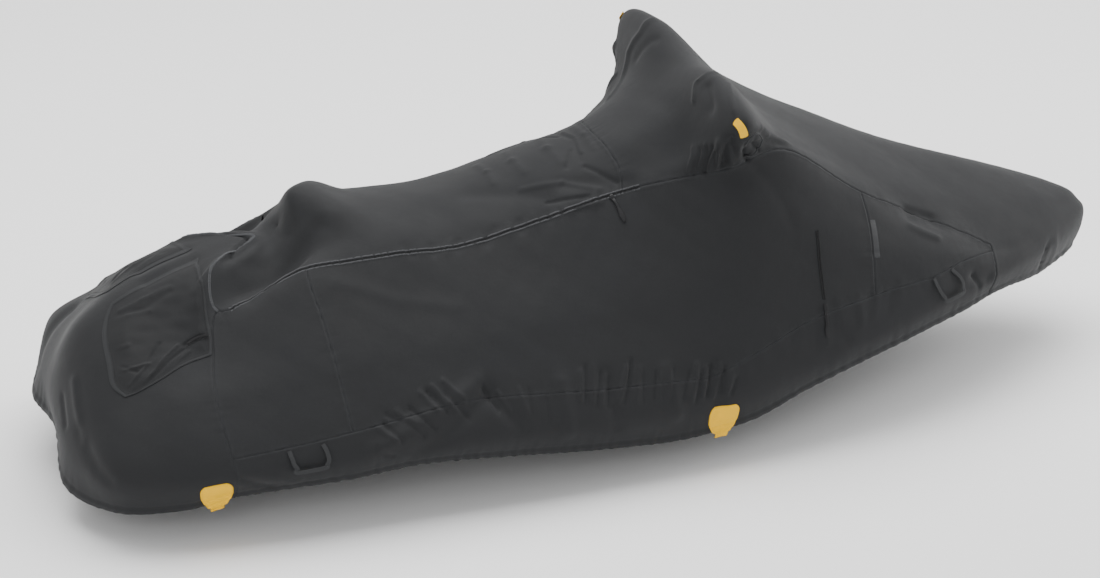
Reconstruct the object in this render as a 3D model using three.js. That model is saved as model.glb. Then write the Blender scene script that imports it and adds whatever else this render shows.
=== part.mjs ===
// A fitted, hollow cloth cover: a long shell with a low stern, a seat saddle with a hump, a tall
// transverse hood with two grip pods, and a bow that falls to a rounded nose. Millimetres, +Z up,
// +X towards the bow, +Y to port. The origin is the point under the seat top that holds the cover up.
import * as THREE from "three";

// Driving dimensions
const CLOTH_THICKNESS = 2.5;
const SEAM_GAP = 0.3;
const HELD_HEIGHT = 680; // the origin above the lowest level of the hem
const STARBOARD = -1;
const PORT = 1;
const SIDES = [
  { side: STARBOARD, suffix: "starboard" },
  { side: PORT, suffix: "port" },
];

// The lines that shape one side, from the stern centre (station 0) to the bow centre (station 17).
// Each row is a station: forward of the origin, out from the centre plane, up from the lowest hem.
const LINES = {
  hem: [
    [-1160, 0, 100], [-1204, 220, 26], [-1108, 433, 21], [-930, 520, 37], [-780, 545, 65],
    [-440, 580, 78], [-220, 588, 93], [20, 594, 75], [300, 600, 50], [530, 600, 33],
    [680, 597, 38], [820, 590, 55], [1000, 575, 115], [1220, 540, 167], [1490, 463, 206],
    [1750, 338, 220], [1980, 165, 175], [2150, 0, 178],
  ],
  bumper: [
    [-1172, 0, 220], [-1182, 240, 165], [-1120, 460, 150], [-960, 555, 150], [-790, 590, 155],
    [-435, 617, 160], [-220, 622, 165], [20, 628, 160], [300, 632, 150], [530, 630, 150],
    [680, 625, 155], [820, 620, 165], [1010, 600, 205], [1230, 565, 250], [1500, 485, 290],
    [1770, 360, 295], [2008, 190, 270], [2182, 0, 246],
  ],
  slope: [
    [-1090, 0, 420], [-1070, 180, 390], [-1010, 330, 340], [-920, 420, 335], [-800, 450, 330],
    [-440, 490, 360], [-210, 480, 380], [20, 475, 390], [300, 480, 400], [530, 480, 410],
    [680, 500, 430], [820, 520, 460], [1010, 510, 480], [1250, 490, 450], [1510, 440, 410],
    [1770, 345, 335], [2018, 180, 318], [2188, 0, 292],
  ],
  flank: [
    [-810, 0, 580], [-850, 90, 545], [-850, 190, 480], [-820, 250, 450], [-770, 330, 415],
    [-445, 360, 490], [-210, 360, 500], [20, 360, 500], [300, 360, 530], [540, 360, 560],
    [670, 400, 590], [820, 460, 640], [1010, 445, 660], [1260, 430, 550], [1520, 395, 450],
    [1770, 330, 350], [2015, 170, 338], [2184, 0, 308],
  ],
  seam: [
    [-535, 0, 625], [-600, 50, 622], [-670, 90, 615], [-712, 130, 595], [-720, 220, 507],
    [-450, 240, 602], [-200, 240, 612], [25, 240, 605], [288, 240, 650], [540, 240, 700],
    [665, 300, 740], [820, 400, 795], [1000, 360, 812], [1260, 360, 633], [1530, 335, 480],
    [1760, 310, 380], [2005, 150, 368], [2170, 0, 325],
  ],
  shoulder: [
    [-500, 0, 622], [-510, 50, 617], [-520, 90, 602], [-530, 130, 572], [-505, 165, 560],
    [-400, 180, 640], [-200, 180, 650], [30, 180, 645], [300, 180, 695], [550, 190, 745],
    [700, 260, 800], [830, 470, 960], [1010, 315, 836], [1280, 270, 665], [1540, 240, 540],
    [1780, 210, 440], [1985, 120, 402], [2150, 0, 350],
  ],
  crown: [
    [-480, 0, 632], [-480, 40, 632], [-475, 70, 633], [-460, 90, 640], [-420, 100, 680],
    [-345, 100, 728], [-200, 100, 682], [30, 100, 669], [300, 100, 732], [540, 110, 785],
    [720, 170, 880], [830, 260, 1025], [1020, 170, 845], [1280, 140, 705], [1540, 120, 580],
    [1780, 100, 490], [1960, 70, 428], [2126, 0, 366],
  ],
  centre: [
    [-460, 0, 646], [-457, 0, 655], [-450, 0, 676], [-440, 0, 706], [-420, 0, 752],
    [-365, 0, 762], [-200, 0, 696], [30, 0, 681], [300, 0, 747], [530, 0, 800],
    [700, 0, 880], [840, 0, 990], [1020, 0, 850], [1280, 0, 720], [1540, 0, 600],
    [1780, 0, 510], [1960, 0, 436], [2102, 0, 376],
  ],
};
const LINE_NAMES = Object.keys(LINES);
const CENTRE = LINE_NAMES.length - 1;
const LAST_STATION = LINES.hem.length - 1;

// The port stern is tucked further in and up: line, station, forward, up.
const PORT_TUCK = [
  ["hem", 1, 35, 90], ["hem", 2, 45, 110], ["hem", 3, 0, 50],
  ["bumper", 1, 60, 70], ["bumper", 2, 80, 95], ["bumper", 3, 0, 40],
  ["slope", 1, 70, 20], ["slope", 2, 70, 35], ["slope", 3, 30, 10],
  ["flank", 1, 0, 10], ["flank", 2, 0, 25], ["flank", 3, 0, 10],
  ["seam", 5, 0, -32], ["flank", 5, 0, -25], ["seam", 4, 0, -10],
];

// Where the seams run: height between the lines (0 is the hem, 7 the centre) at each station.
const SKIRT_SEAM = [
  [0, 1.27], [4, 1.27], [5, 1.38], [6.8, 1.47], [8.1, 1.37], [10, 1.27], [12, 1.5], [13.2, 1.6],
  [13.8, 1.6], [14.1, 1.73], [14.43, 2.03], [14.75, 2.85], [16, 1.7], [17, 1.7],
];
const TOP_SEAM = [
  [0, 4], [4.2, 4], [4.45, 4.22], [4.9, 4.13], [5.4, 4], [13.1, 4], [13.57, 4.1], [14.03, 4.03],
  [14.47, 3.87], [14.75, 3.45], [16, 4], [17, 4],
];
const BOW_POINT = 14.75; // the station where the two seams of the bow side panel nearly meet

// Columns of cloth between stations, and rows between the seams.
const COLUMN_STEPS = [
  { from: 0, to: 4, steps: 12 },
  { from: 4, to: 5, steps: 5 },
  { from: 5, to: 9, steps: 12 },
  { from: 9, to: 10, steps: 3 },
  { from: 10, to: 12, steps: 8 },
  { from: 12, to: 13, steps: 4 },
  { from: 13, to: BOW_POINT, steps: 5 },
  { from: BOW_POINT, to: LAST_STATION, steps: 6 },
];
const SKIRT_ROWS = 4;
const FLANK_ROWS = 5;
const TOP_ROWS = 6;

// The main folds: station and height of both ends, half width and rise in mm (a trough is below zero).
const FOLDS = [
  { side: 0, from: [5.27, 1.1], to: [6.8, 1.63], width: 26, rise: 9 },
  { side: 0, from: [5.9, 0.9], to: [6.85, 1.5], width: 24, rise: -8 },
  { side: 0, from: [6.87, 1.6], to: [7.2, 1.1], width: 26, rise: -9 },
  { side: 0, from: [7.7, 1.5], to: [7.7, 0.9], width: 24, rise: 7 },
  { side: 0, from: [8.25, 1.5], to: [8.3, 0.9], width: 24, rise: -7 },
  { side: 0, from: [9.1, 1.45], to: [9.2, 0.9], width: 24, rise: 7 },
  { side: 0, from: [10.1, 1.4], to: [10.1, 0.9], width: 24, rise: -7 },
  { side: 0, from: [10.43, 4.7], to: [10.5, 4.05], width: 14, rise: -11 },
  { side: 0, from: [10.62, 4.75], to: [10.72, 4.1], width: 13, rise: 9 },
  { side: 0, from: [10.8, 4.7], to: [10.88, 4.1], width: 13, rise: -11 },
  { side: 0, from: [11.0, 4.55], to: [11.05, 4.1], width: 13, rise: 8 },
  { side: 0, from: [0.35, 2.8], to: [0.45, 3.3], width: 26, rise: -9 },
  { side: 0, from: [13.62, 3.8], to: [14.0, 3.95], width: 26, rise: -7 },
  { side: STARBOARD, from: [14.4, 1.35], to: [14.62, 1.1], width: 22, rise: -8 },
  { side: 0, from: [4.35, 4.2], to: [4.75, 5.6], width: 34, rise: -9 },
  { side: STARBOARD, from: [8.3, 5.2], to: [9.1, 4.3], width: 28, rise: -7 },
  { side: STARBOARD, from: [7.3, 6.3], to: [8.1, 4.8], width: 30, rise: -6 },
  { side: PORT, from: [1.2, 0.5], to: [1.5, 1.6], width: 34, rise: -10 },
];

// A line through all its stations, down the starboard side and back up the port side.
function lineCurve(name) {
  const points = { [STARBOARD]: [], [PORT]: [] };
  for (const { side } of SIDES) {
    for (const [forward, out, up] of LINES[name]) {
      points[side].push(new THREE.Vector3(forward, side * out, up - HELD_HEIGHT));
    }
  }
  for (const [line, station, forward, up] of PORT_TUCK) {
    if (line === name) points[PORT][station].add(new THREE.Vector3(forward, 0, up));
  }
  const back = points[PORT].slice(1, -1).reverse();
  return new THREE.CatmullRomCurve3([...points[STARBOARD], ...back], true, "centripetal");
}
const LINE_CURVES = LINE_NAMES.map(lineCurve);

// The smooth cloth at a station and a height between the lines.
function smoothPoint(side, station, height) {
  const round = 2 * LAST_STATION;
  const turn = (which) => (which === STARBOARD ? station : round - station) / round;
  const points = LINE_CURVES.map((curve) => curve.getPoint(turn(side)));
  points.push(LINE_CURVES[CENTRE - 1].getPoint(turn(-side)));
  const rib = new THREE.CatmullRomCurve3(points, false, "centripetal");
  return rib.getPoint(height / (points.length - 1));
}

function smoothNormal(side, station, height) {
  const nudge = 0.02;
  const [s0, s1] = [Math.max(station - nudge, 0), Math.min(station + nudge, LAST_STATION)];
  const [h0, h1] = [Math.max(height - nudge, 0), Math.min(height + nudge, CENTRE)];
  const along = smoothPoint(side, s1, height).sub(smoothPoint(side, s0, height));
  const up = smoothPoint(side, station, h1).sub(smoothPoint(side, station, h0));
  return along.cross(up).multiplyScalar(-side).normalize();
}

// How far the folds lift the cloth at a point.
const foldLines = FOLDS.flatMap(({ side, from, to, width, rise }) =>
  (side ? [side] : [STARBOARD, PORT]).map((which) => ({
    line: new THREE.Line3(smoothPoint(which, ...from), smoothPoint(which, ...to)),
    width,
    rise,
  })),
);
function foldRise(point) {
  const nearest = new THREE.Vector3();
  let sum = 0;
  for (const { line, width, rise } of foldLines) {
    line.closestPointToPoint(point, true, nearest);
    sum += rise * Math.exp(-((nearest.distanceTo(point) / width) ** 2));
  }
  return sum;
}

// A seam's height at a station.
function seamHeight(seam, station) {
  const next = Math.max(1, seam.findIndex(([at]) => at >= station));
  const [[from, low], [to, high]] = [seam[next - 1], seam[next]];
  return THREE.MathUtils.mapLinear(station, from, to, low, high);
}

// The grid of the whole cloth: stations of its columns, heights of its rows in each column.
const columnStations = [0];
for (const { from, to, steps } of COLUMN_STEPS) {
  for (let step = 1; step <= steps; step++) columnStations.push(from + ((to - from) * step) / steps);
}
const LAST_COLUMN = columnStations.length - 1;
const LAST_ROW = SKIRT_ROWS + FLANK_ROWS + TOP_ROWS;
const rowHeights = columnStations.map((station) => {
  const skirtTop = seamHeight(SKIRT_SEAM, station);
  const flankTop = seamHeight(TOP_SEAM, station);
  const heights = [];
  for (let row = 0; row < SKIRT_ROWS; row++) heights.push((skirtTop * row) / SKIRT_ROWS);
  for (let row = 0; row < FLANK_ROWS; row++) {
    heights.push(skirtTop + ((flankTop - skirtTop) * row) / FLANK_ROWS);
  }
  for (let row = 0; row <= TOP_ROWS; row++) heights.push(flankTop + ((CENTRE - flankTop) * row) / TOP_ROWS);
  return heights;
});

// One shared number for each point of the grid: both sides meet at the centre line and at both ends.
function gridPoint(side, column, row) {
  const shared = row === LAST_ROW || column === 0 || column === LAST_COLUMN;
  const half = shared || side === STARBOARD ? 0 : 1;
  return (half * (LAST_COLUMN + 1) + column) * (LAST_ROW + 1) + row;
}
function gridCell(side, column, row) {
  const cell = [
    gridPoint(side, column, row),
    gridPoint(side, column + 1, row),
    gridPoint(side, column + 1, row + 1),
    gridPoint(side, column, row + 1),
  ];
  return side === STARBOARD ? cell : [cell[0], cell[3], cell[2], cell[1]];
}

const clothPoints = [];
const clothNormals = [];
for (const { side } of SIDES) {
  columnStations.forEach((station, column) => {
    rowHeights[column].forEach((height, row) => {
      const index = gridPoint(side, column, row);
      if (clothPoints[index]) return;
      const point = smoothPoint(side, station, height);
      const normal = smoothNormal(side, station, height);
      clothPoints[index] = point.addScaledVector(normal, foldRise(point));
      clothNormals[index] = new THREE.Vector3();
    });
  });
}

function cellTriangles([a, b, c, d]) {
  return [
    [a, b, c],
    [a, c, d],
  ];
}
for (const { side } of SIDES) {
  for (let column = 0; column < LAST_COLUMN; column++) {
    for (let row = 0; row < LAST_ROW; row++) {
      for (const [a, b, c] of cellTriangles(gridCell(side, column, row))) {
        const face = new THREE.Vector3().subVectors(clothPoints[b], clothPoints[a]);
        face.cross(new THREE.Vector3().subVectors(clothPoints[c], clothPoints[a]));
        for (const corner of [a, b, c]) clothNormals[corner].add(face);
      }
    }
  }
}
for (const normal of clothNormals) if (normal) normal.normalize();

// A closed solid from cells of outer points, the same cells of inner points and the rim between them.
function shellGeometry(cells, outer, inner) {
  const index = [];
  const rim = new Map();
  const numbers = new Map();
  const positions = [];
  const vertex = (point, layer) => {
    const key = `${layer}/${point}`;
    if (!numbers.has(key)) {
      numbers.set(key, numbers.size);
      positions.push(...(layer ? inner : outer)[point].toArray());
    }
    return numbers.get(key);
  };
  for (const cell of cells) {
    for (const [a, b, c] of cellTriangles(cell)) {
      index.push(vertex(a, 0), vertex(b, 0), vertex(c, 0));
      index.push(vertex(c, 1), vertex(b, 1), vertex(a, 1));
    }
    cell.forEach((from, corner) => {
      const to = cell[(corner + 1) % cell.length];
      if (!rim.delete(`${to}/${from}`)) rim.set(`${from}/${to}`, [from, to]);
    });
  }
  for (const [from, to] of rim.values()) {
    const corners = [vertex(to, 0), vertex(from, 0), vertex(from, 1), vertex(to, 1)];
    const [p, q, r, s] = from < to ? corners : [corners[1], corners[2], corners[3], corners[0]];
    index.push(p, q, r, p, r, s);
  }
  const geometry = new THREE.BufferGeometry();
  geometry.setAttribute("position", new THREE.Float32BufferAttribute(positions, 3));
  geometry.setIndex(index);
  geometry.computeVertexNormals();
  return geometry;
}

// A cut panel: its cells of the grid, drawn in by half a seam gap along every free edge.
function panelGeometry(cells) {
  const rim = new Map();
  for (const cell of cells) {
    const middle = new THREE.Vector3();
    for (const point of cell) middle.addScaledVector(clothPoints[point], 1 / cell.length);
    cell.forEach((from, corner) => {
      const to = cell[(corner + 1) % cell.length];
      if (!rim.delete(`${to}/${from}`)) rim.set(`${from}/${to}`, { from, to, middle });
    });
  }
  const inward = new Map();
  for (const { from, to, middle } of rim.values()) {
    const edge = new THREE.Vector3().subVectors(clothPoints[to], clothPoints[from]).normalize();
    const pull = new THREE.Vector3().crossVectors(clothNormals[from], edge).normalize();
    if (pull.dot(middle.clone().sub(clothPoints[from])) < 0) pull.negate();
    for (const point of [from, to]) {
      if (!inward.has(point)) inward.set(point, []);
      inward.get(point).push(pull);
    }
  }
  const outer = [];
  const inner = [];
  for (const point of new Set(cells.flat())) {
    outer[point] = clothPoints[point].clone();
    const pulls = inward.get(point) || [];
    if (pulls.length) {
      const sum = pulls.reduce((total, pull) => total.add(pull), new THREE.Vector3()).normalize();
      outer[point].addScaledVector(sum, SEAM_GAP / 2 / Math.max(sum.dot(pulls[0]), 0.5));
    }
    inner[point] = outer[point].clone().addScaledVector(clothNormals[point], -CLOTH_THICKNESS);
  }
  return shellGeometry(cells, outer, inner);
}

function columnAt(station) {
  return columnStations.findIndex((at) => Math.abs(at - station) < 1e-6);
}
const SKIRT_TOP_ROW = SKIRT_ROWS;
const FLANK_TOP_ROW = SKIRT_ROWS + FLANK_ROWS;

// The cells of a panel between two stations and two rows, on one side or on both.
function panelCells(sides, [fromStation, toStation], [fromRow, toRow]) {
  const cells = [];
  for (const side of sides) {
    for (let column = columnAt(fromStation); column < columnAt(toStation); column++) {
      for (let row = fromRow; row < toRow; row++) cells.push(gridCell(side, column, row));
    }
  }
  return cells;
}

// A point and its normal on the faceted cloth. Past the centre or the stern it is on the other side.
function onCloth(side, station, height) {
  if (station < 0) return onCloth(-side, -station, height);
  if (height > CENTRE) return onCloth(-side, station, 2 * CENTRE - height);
  const column = Math.min(columnStations.findLastIndex((at) => at <= station), LAST_COLUMN - 1);
  const across = THREE.MathUtils.inverseLerp(columnStations[column], columnStations[column + 1], station);
  const heights = rowHeights[column].map((low, row) => low + (rowHeights[column + 1][row] - low) * across);
  const row = THREE.MathUtils.clamp(heights.findLastIndex((at) => at <= height), 0, LAST_ROW - 1);
  const up = (height - heights[row]) / (heights[row + 1] - heights[row]);
  const near = gridPoint(side, column, row);
  const far = gridPoint(side, column + 1, row + 1);
  const bend = across > up ? gridPoint(side, column + 1, row) : gridPoint(side, column, row + 1);
  const weights = [
    [near, 1 - Math.max(across, up)],
    [bend, Math.abs(across - up)],
    [far, Math.min(across, up)],
  ];
  const point = new THREE.Vector3();
  const normal = new THREE.Vector3();
  for (const [corner, weight] of weights) {
    point.addScaledVector(clothPoints[corner], weight);
    normal.addScaledVector(clothNormals[corner], weight);
  }
  return { point, normal: normal.normalize() };
}

// The cloth position a short way off another one, along a direction in space.
function stepOnCloth(side, station, height, move) {
  const nudge = 0.05;
  const start = onCloth(side, station, height).point;
  const sign = station + nudge > LAST_STATION ? -1 : 1;
  const along = onCloth(side, station + sign * nudge, height).point.sub(start).multiplyScalar(sign / nudge);
  const up = onCloth(side, station, height + nudge).point.sub(start).multiplyScalar(1 / nudge);
  const [aa, au, uu] = [along.dot(along), along.dot(up), up.dot(up)];
  const [ma, mu] = [move.dot(along), move.dot(up)];
  const determinant = aa * uu - au * au;
  return {
    station: station + (ma * uu - mu * au) / determinant,
    height: height + (mu * aa - ma * au) / determinant,
  };
}

// A closed solid from rows of places on the cloth, each with a point and the cloth's normal there.
function layerGeometry(rows, thickness) {
  const wide = rows[0].length;
  const places = rows.flat();
  const inner = places.map(({ point }) => point);
  const outer = places.map(({ point, normal }) => point.clone().addScaledVector(normal, thickness));
  const first = new THREE.Vector3().subVectors(inner[wide], inner[0]);
  const facing = first.cross(new THREE.Vector3().subVectors(inner[1], inner[0])).dot(places[0].normal);
  const cells = [];
  for (let row = 0; row + 1 < rows.length; row++) {
    for (let column = 0; column + 1 < wide; column++) {
      const a = row * wide + column;
      const cell = [a, a + wide, a + wide + 1, a + 1];
      cells.push(facing > 0 ? cell : [cell[0], cell[3], cell[2], cell[1]]);
    }
  }
  return shellGeometry(cells, outer, inner);
}

// A strip sewn on the cloth: rows of station, height, width and lift along its middle line.
function stripGeometry(side, path, { thickness, across = 1 }) {
  const middles = path.map(([station, height, , lift]) => {
    const { point, normal } = onCloth(side, station, height);
    return point.addScaledVector(normal, lift);
  });
  const rows = path.map(([station, height, width, lift], index) => {
    const { normal } = onCloth(side, station, height);
    const before = middles[Math.max(index - 1, 0)];
    const along = new THREE.Vector3().subVectors(middles[Math.min(index + 1, middles.length - 1)], before);
    const lateral = new THREE.Vector3().crossVectors(normal, along).normalize().multiplyScalar(-side);
    const places = [];
    for (let step = 0; step <= across; step++) {
      const move = lateral.clone().multiplyScalar((step / across - 0.5) * width);
      const at = stepOnCloth(side, station, height, move);
      const place = onCloth(side, at.station, at.height);
      place.point.addScaledVector(place.normal, lift);
      places.push(place);
    }
    return places;
  });
  return layerGeometry(rows, thickness);
}

// A path's table made smooth: each column of numbers follows a curve through its rows.
function smoothPath(table, steps) {
  const curve = (columns) =>
    new THREE.CatmullRomCurve3(
      table.map((row) => new THREE.Vector3(...columns.map((column) => row[column]))),
    );
  const place = curve([0, 1, 3]);
  const width = curve([2, 2, 2]);
  const path = [];
  for (let step = 0; step <= steps; step++) {
    const at = place.getPoint(step / steps);
    path.push([at.x, at.y, width.getPoint(step / steps).x, at.z]);
  }
  return path;
}

// Sewn-on pieces. A row of a path holds station, height between the lines, width and lift.
const LIFT = 1.2;
const ZIP_WIDTH = 15;
const ZIP_THICKNESS = 2.5;
const ZIP_ENDS = [4.2, 9.34];
const PIPING = { width: 8, thickness: 5, reach: 4 };
const ZIP_PULL = [
  [8.83, 4.02, 9, 4.3], [8.84, 3.93, 12, 4.2], [8.86, 3.84, 8, 4.4], [8.88, 3.72, 8, 4.6],
  [8.9, 3.58, 13, 4], [8.92, 3.46, 10, 3.4],
];
const REAR_PULL = [
  [4.3, 5.2, 10, 1.2], [4.26, 5.25, 12, 3.4], [4.22, 5.3, 14, 8], [4.15, 5.4, 12, 14],
];
const VENT_ZIP = { station: 12.25, from: 2.62, to: 1.66, steps: 14, width: 11, thickness: 2.5 };
const VENT_PULL = [
  [12.25, 1.62, 10, 0.7], [12.25, 1.58, 14, 1.3], [12.24, 1.52, 9, 2], [12.24, 1.44, 9, 2.4],
  [12.23, 1.36, 14, 2], [12.23, 1.28, 10, 1.4],
];
const REFLECTIVE_STRIP = { station: 13.05, from: 3.2, to: 2.15, steps: 8, width: 20, thickness: 1.2 };
const PULL_THICKNESS = 3;
const POD_TAG = [
  [10.86, 5.12, 24, 5], [10.94, 4.94, 25, 3.6], [11.03, 4.7, 25, 3],
];
const DRAWCORD = [
  [11.12, 4.5, 5, 1], [11.16, 4.72, 5, 6], [11.3, 4.78, 5, 9], [11.44, 4.62, 5, 10],
  [11.47, 4.36, 5, 9], [11.38, 4.16, 5, 6], [11.24, 4.12, 5, 1],
];
const REAR_LOOP = [
  [4.47, 1.28, 13, 1], [4.475, 1.18, 13, 5], [4.5, 1.02, 13, 11], [4.57, 0.93, 13, 14],
  [4.66, 0.94, 13, 14], [4.735, 1.02, 13, 12], [4.75, 1.18, 13, 6], [4.73, 1.3, 13, 1],
];
const BOW_LOOP = [
  [13.8, 1.58, 12, 1], [13.84, 1.4, 12, 5], [13.92, 1.16, 12, 10], [14.03, 1.04, 12, 13],
  [14.13, 1.05, 12, 13], [14.19, 1.2, 12, 11], [14.17, 1.45, 12, 6], [14.07, 1.68, 12, 1],
];
const GUSSET_STRAP = [
  [3.02, 2.9, 8, 9.2], [3.3, 3.08, 8, 9.5], [3.62, 3.27, 8, 9.2], [3.86, 3.4, 8, 8],
];
const CURVED_STRIPS = [
  { name: "pod_tag", table: POD_TAG, steps: 10, thickness: 2, across: 4, slot: "yellow_rubber" },
  { name: "drawcord", table: DRAWCORD, steps: 14, thickness: 5, slot: "webbing" },
  { name: "rear_loop", table: REAR_LOOP, steps: 14, thickness: 4, slot: "webbing" },
  { name: "bow_loop", table: BOW_LOOP, steps: 14, thickness: 4, slot: "webbing" },
  { name: "gathered_panel_strap", table: GUSSET_STRAP, steps: 8, thickness: 2.5, slot: "black_strap" },
];
const TAB_THICKNESS = 3;
const TAB_LENGTH = 122;
const TAB_LIFT = 1.5;
const TAB_PLACES = [
  { name: "rear_hem_tab", station: 3.65, top: 0.8 },
  { name: "middle_hem_tab", station: 10.27, top: 0.82 },
];
// Down from the tab's top edge, as a share of its length, and its width there.
const TAB_OUTLINE = [
  [0, 66], [0.04, 80], [0.12, 91], [0.24, 96], [0.4, 91], [0.58, 76], [0.74, 58], [0.835, 50],
  [0.84, 41], [0.92, 40], [0.985, 40], [1, 36],
];
// The gathered panel's rear and front edges, from the bottom up: station and height of each.
const GUSSET_EDGES = [
  [1.83, 1.9, 3.95, 3.05], [1.47, 1.9, 3.95, 3.5], [1.2, 2.03, 3.62, 3.82], [0.73, 2.2, 2.5, 3.72],
  [0.27, 2.43, 0.43, 3.37],
];
const GUSSET = { steps: 12, thickness: 2.2, lift: 4.2, ruffles: 5, ruffleRise: 3.2 };

// The grid's stations between two ends, with one more half way along each column.
function halfColumns(from, to) {
  const stations = columnStations.filter((at) => at > from - 1e-6 && at < to + 1e-6);
  return stations.flatMap((at, index) => (index ? [(stations[index - 1] + at) / 2, at] : [at]));
}

function seatZip(side) {
  const path = halfColumns(...ZIP_ENDS).map((at) => [at, seamHeight(TOP_SEAM, at), ZIP_WIDTH, LIFT]);
  return stripGeometry(side, path, { thickness: ZIP_THICKNESS, across: 2 });
}

function seatPiping() {
  const { width, thickness, reach } = PIPING;
  const half = halfColumns(0, reach);
  const stations = [...half.slice(1).reverse(), ...half.map((at) => -at)];
  const path = stations.map((at) => [at, seamHeight(TOP_SEAM, Math.abs(at)), width, LIFT]);
  return stripGeometry(STARBOARD, path, { thickness, across: 2 });
}

function straightStrip(side, { station, from, to, steps, width, thickness }) {
  const path = [];
  for (let step = 0; step <= steps; step++) {
    path.push([station, from + ((to - from) * step) / steps, width, LIFT]);
  }
  return stripGeometry(side, path, { thickness, across: 2 });
}

function hemTab(side, { station, top }) {
  const start = onCloth(side, station, top).point;
  const hem = onCloth(side, station, 0).point;
  const onSkirt = start.distanceTo(hem);
  const path = TAB_OUTLINE.map(([share, width]) => {
    const down = share * TAB_LENGTH;
    return [station, top * (1 - down / onSkirt), width, TAB_LIFT];
  });
  return stripGeometry(side, path, { thickness: TAB_THICKNESS, across: 4 });
}

// A gathered panel laid over the stern panel between its rear and front edges, with low ruffles.
function gusset(side) {
  const { steps, thickness, lift, ruffles, ruffleRise } = GUSSET;
  const edge = (first) =>
    new THREE.CatmullRomCurve3(
      GUSSET_EDGES.map((row) => new THREE.Vector3(row[first], row[first + 1], 0)),
    );
  const [rear, front] = [edge(0), edge(2)];
  const rows = [];
  for (let row = 0; row <= steps; row++) {
    const v = row / steps;
    const places = [];
    for (let column = 0; column <= steps; column++) {
      const u = column / steps;
      const at = rear.getPoint(v).lerp(front.getPoint(v), u);
      const place = onCloth(side, at.x, at.y);
      const inside = Math.sin(Math.PI * u) * Math.sin(Math.PI * v);
      const wave = (1 + Math.sin(ruffles * Math.PI * (u + v / 2))) / 2;
      place.point.addScaledVector(place.normal, lift + inside * wave * ruffleRise);
      places.push(place);
    }
    rows.push(places);
  }
  return layerGeometry(rows, thickness);
}

const MATERIALS = {
  cover_cloth: { color: 0x3d4043, roughness: 0.85, metalness: 0 },
  gathered_cloth: { color: 0x2f3133, roughness: 0.9, metalness: 0 },
  piping: { color: 0x9a9da0, roughness: 0.7, metalness: 0 },
  zip_tape: { color: 0x17181a, roughness: 0.8, metalness: 0 },
  zip_pull: { color: 0x1c1d1f, roughness: 0.5, metalness: 0.1 },
  reflective_tape: { color: 0xb9bcbf, roughness: 0.35, metalness: 0.1 },
  webbing: { color: 0x6b6e72, roughness: 0.9, metalness: 0 },
  black_strap: { color: 0x101113, roughness: 0.85, metalness: 0 },
  yellow_rubber: { color: 0xffcf24, roughness: 0.5, metalness: 0 },
};

const cover = new THREE.Group();
function add(name, geometry, slot) {
  const mesh = new THREE.Mesh(geometry, new THREE.MeshStandardMaterial(MATERIALS[slot]));
  mesh.name = name;
  cover.add(mesh);
}
function addPanel(name, cells, slot = "cover_cloth") {
  add(name, panelGeometry(cells), slot);
}

const BOTH = [STARBOARD, PORT];
addPanel("stern_panel", panelCells(BOTH, [0, 4], [0, FLANK_TOP_ROW]));
addPanel("seat_panel", panelCells(BOTH, [0, 9], [FLANK_TOP_ROW, LAST_ROW]));
addPanel("hood_panel", [
  ...panelCells(BOTH, [9, BOW_POINT], [FLANK_TOP_ROW, LAST_ROW]),
  ...panelCells(BOTH, [BOW_POINT, LAST_STATION], [0, LAST_ROW]),
]);
add("seat_piping", seatPiping(), "piping");
const pull = (side, path) => stripGeometry(side, path, { thickness: PULL_THICKNESS });
add("rear_pull", pull(PORT, REAR_PULL), "zip_pull");
for (const { side, suffix } of SIDES) {
  const sewn = (name, geometry, slot) => add(`${name}_${suffix}`, geometry, slot);
  const flankRows = [SKIRT_TOP_ROW, FLANK_TOP_ROW];
  addPanel(`quarter_panel_${suffix}`, panelCells([side], [4, 5], flankRows));
  addPanel(`side_panel_${suffix}`, panelCells([side], [5, 13], flankRows));
  addPanel(`bow_side_panel_${suffix}`, panelCells([side], [13, BOW_POINT], flankRows));
  addPanel(`skirt_${suffix}`, panelCells([side], [4, BOW_POINT], [0, SKIRT_TOP_ROW]));
  sewn("gathered_panel", gusset(side), "gathered_cloth");
  sewn("seat_zip", seatZip(side), "zip_tape");
  sewn("seat_zip_pull", pull(side, ZIP_PULL), "zip_pull");
  sewn("vent_zip", straightStrip(side, VENT_ZIP), "zip_tape");
  sewn("vent_zip_pull", pull(side, VENT_PULL), "zip_pull");
  sewn("reflective_strip", straightStrip(side, REFLECTIVE_STRIP), "reflective_tape");
  for (const { name, table, steps, slot, ...shape } of CURVED_STRIPS) {
    sewn(name, stripGeometry(side, smoothPath(table, steps), shape), slot);
  }
  for (const place of TAB_PLACES) sewn(place.name, hemTab(side, place), "yellow_rubber");
}

export default cover;
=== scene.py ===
import math

import bpy
import numpy as np
from bpy.props import FloatProperty, FloatVectorProperty, IntProperty, PointerProperty
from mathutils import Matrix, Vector
from mathutils.kdtree import KDTree


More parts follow.
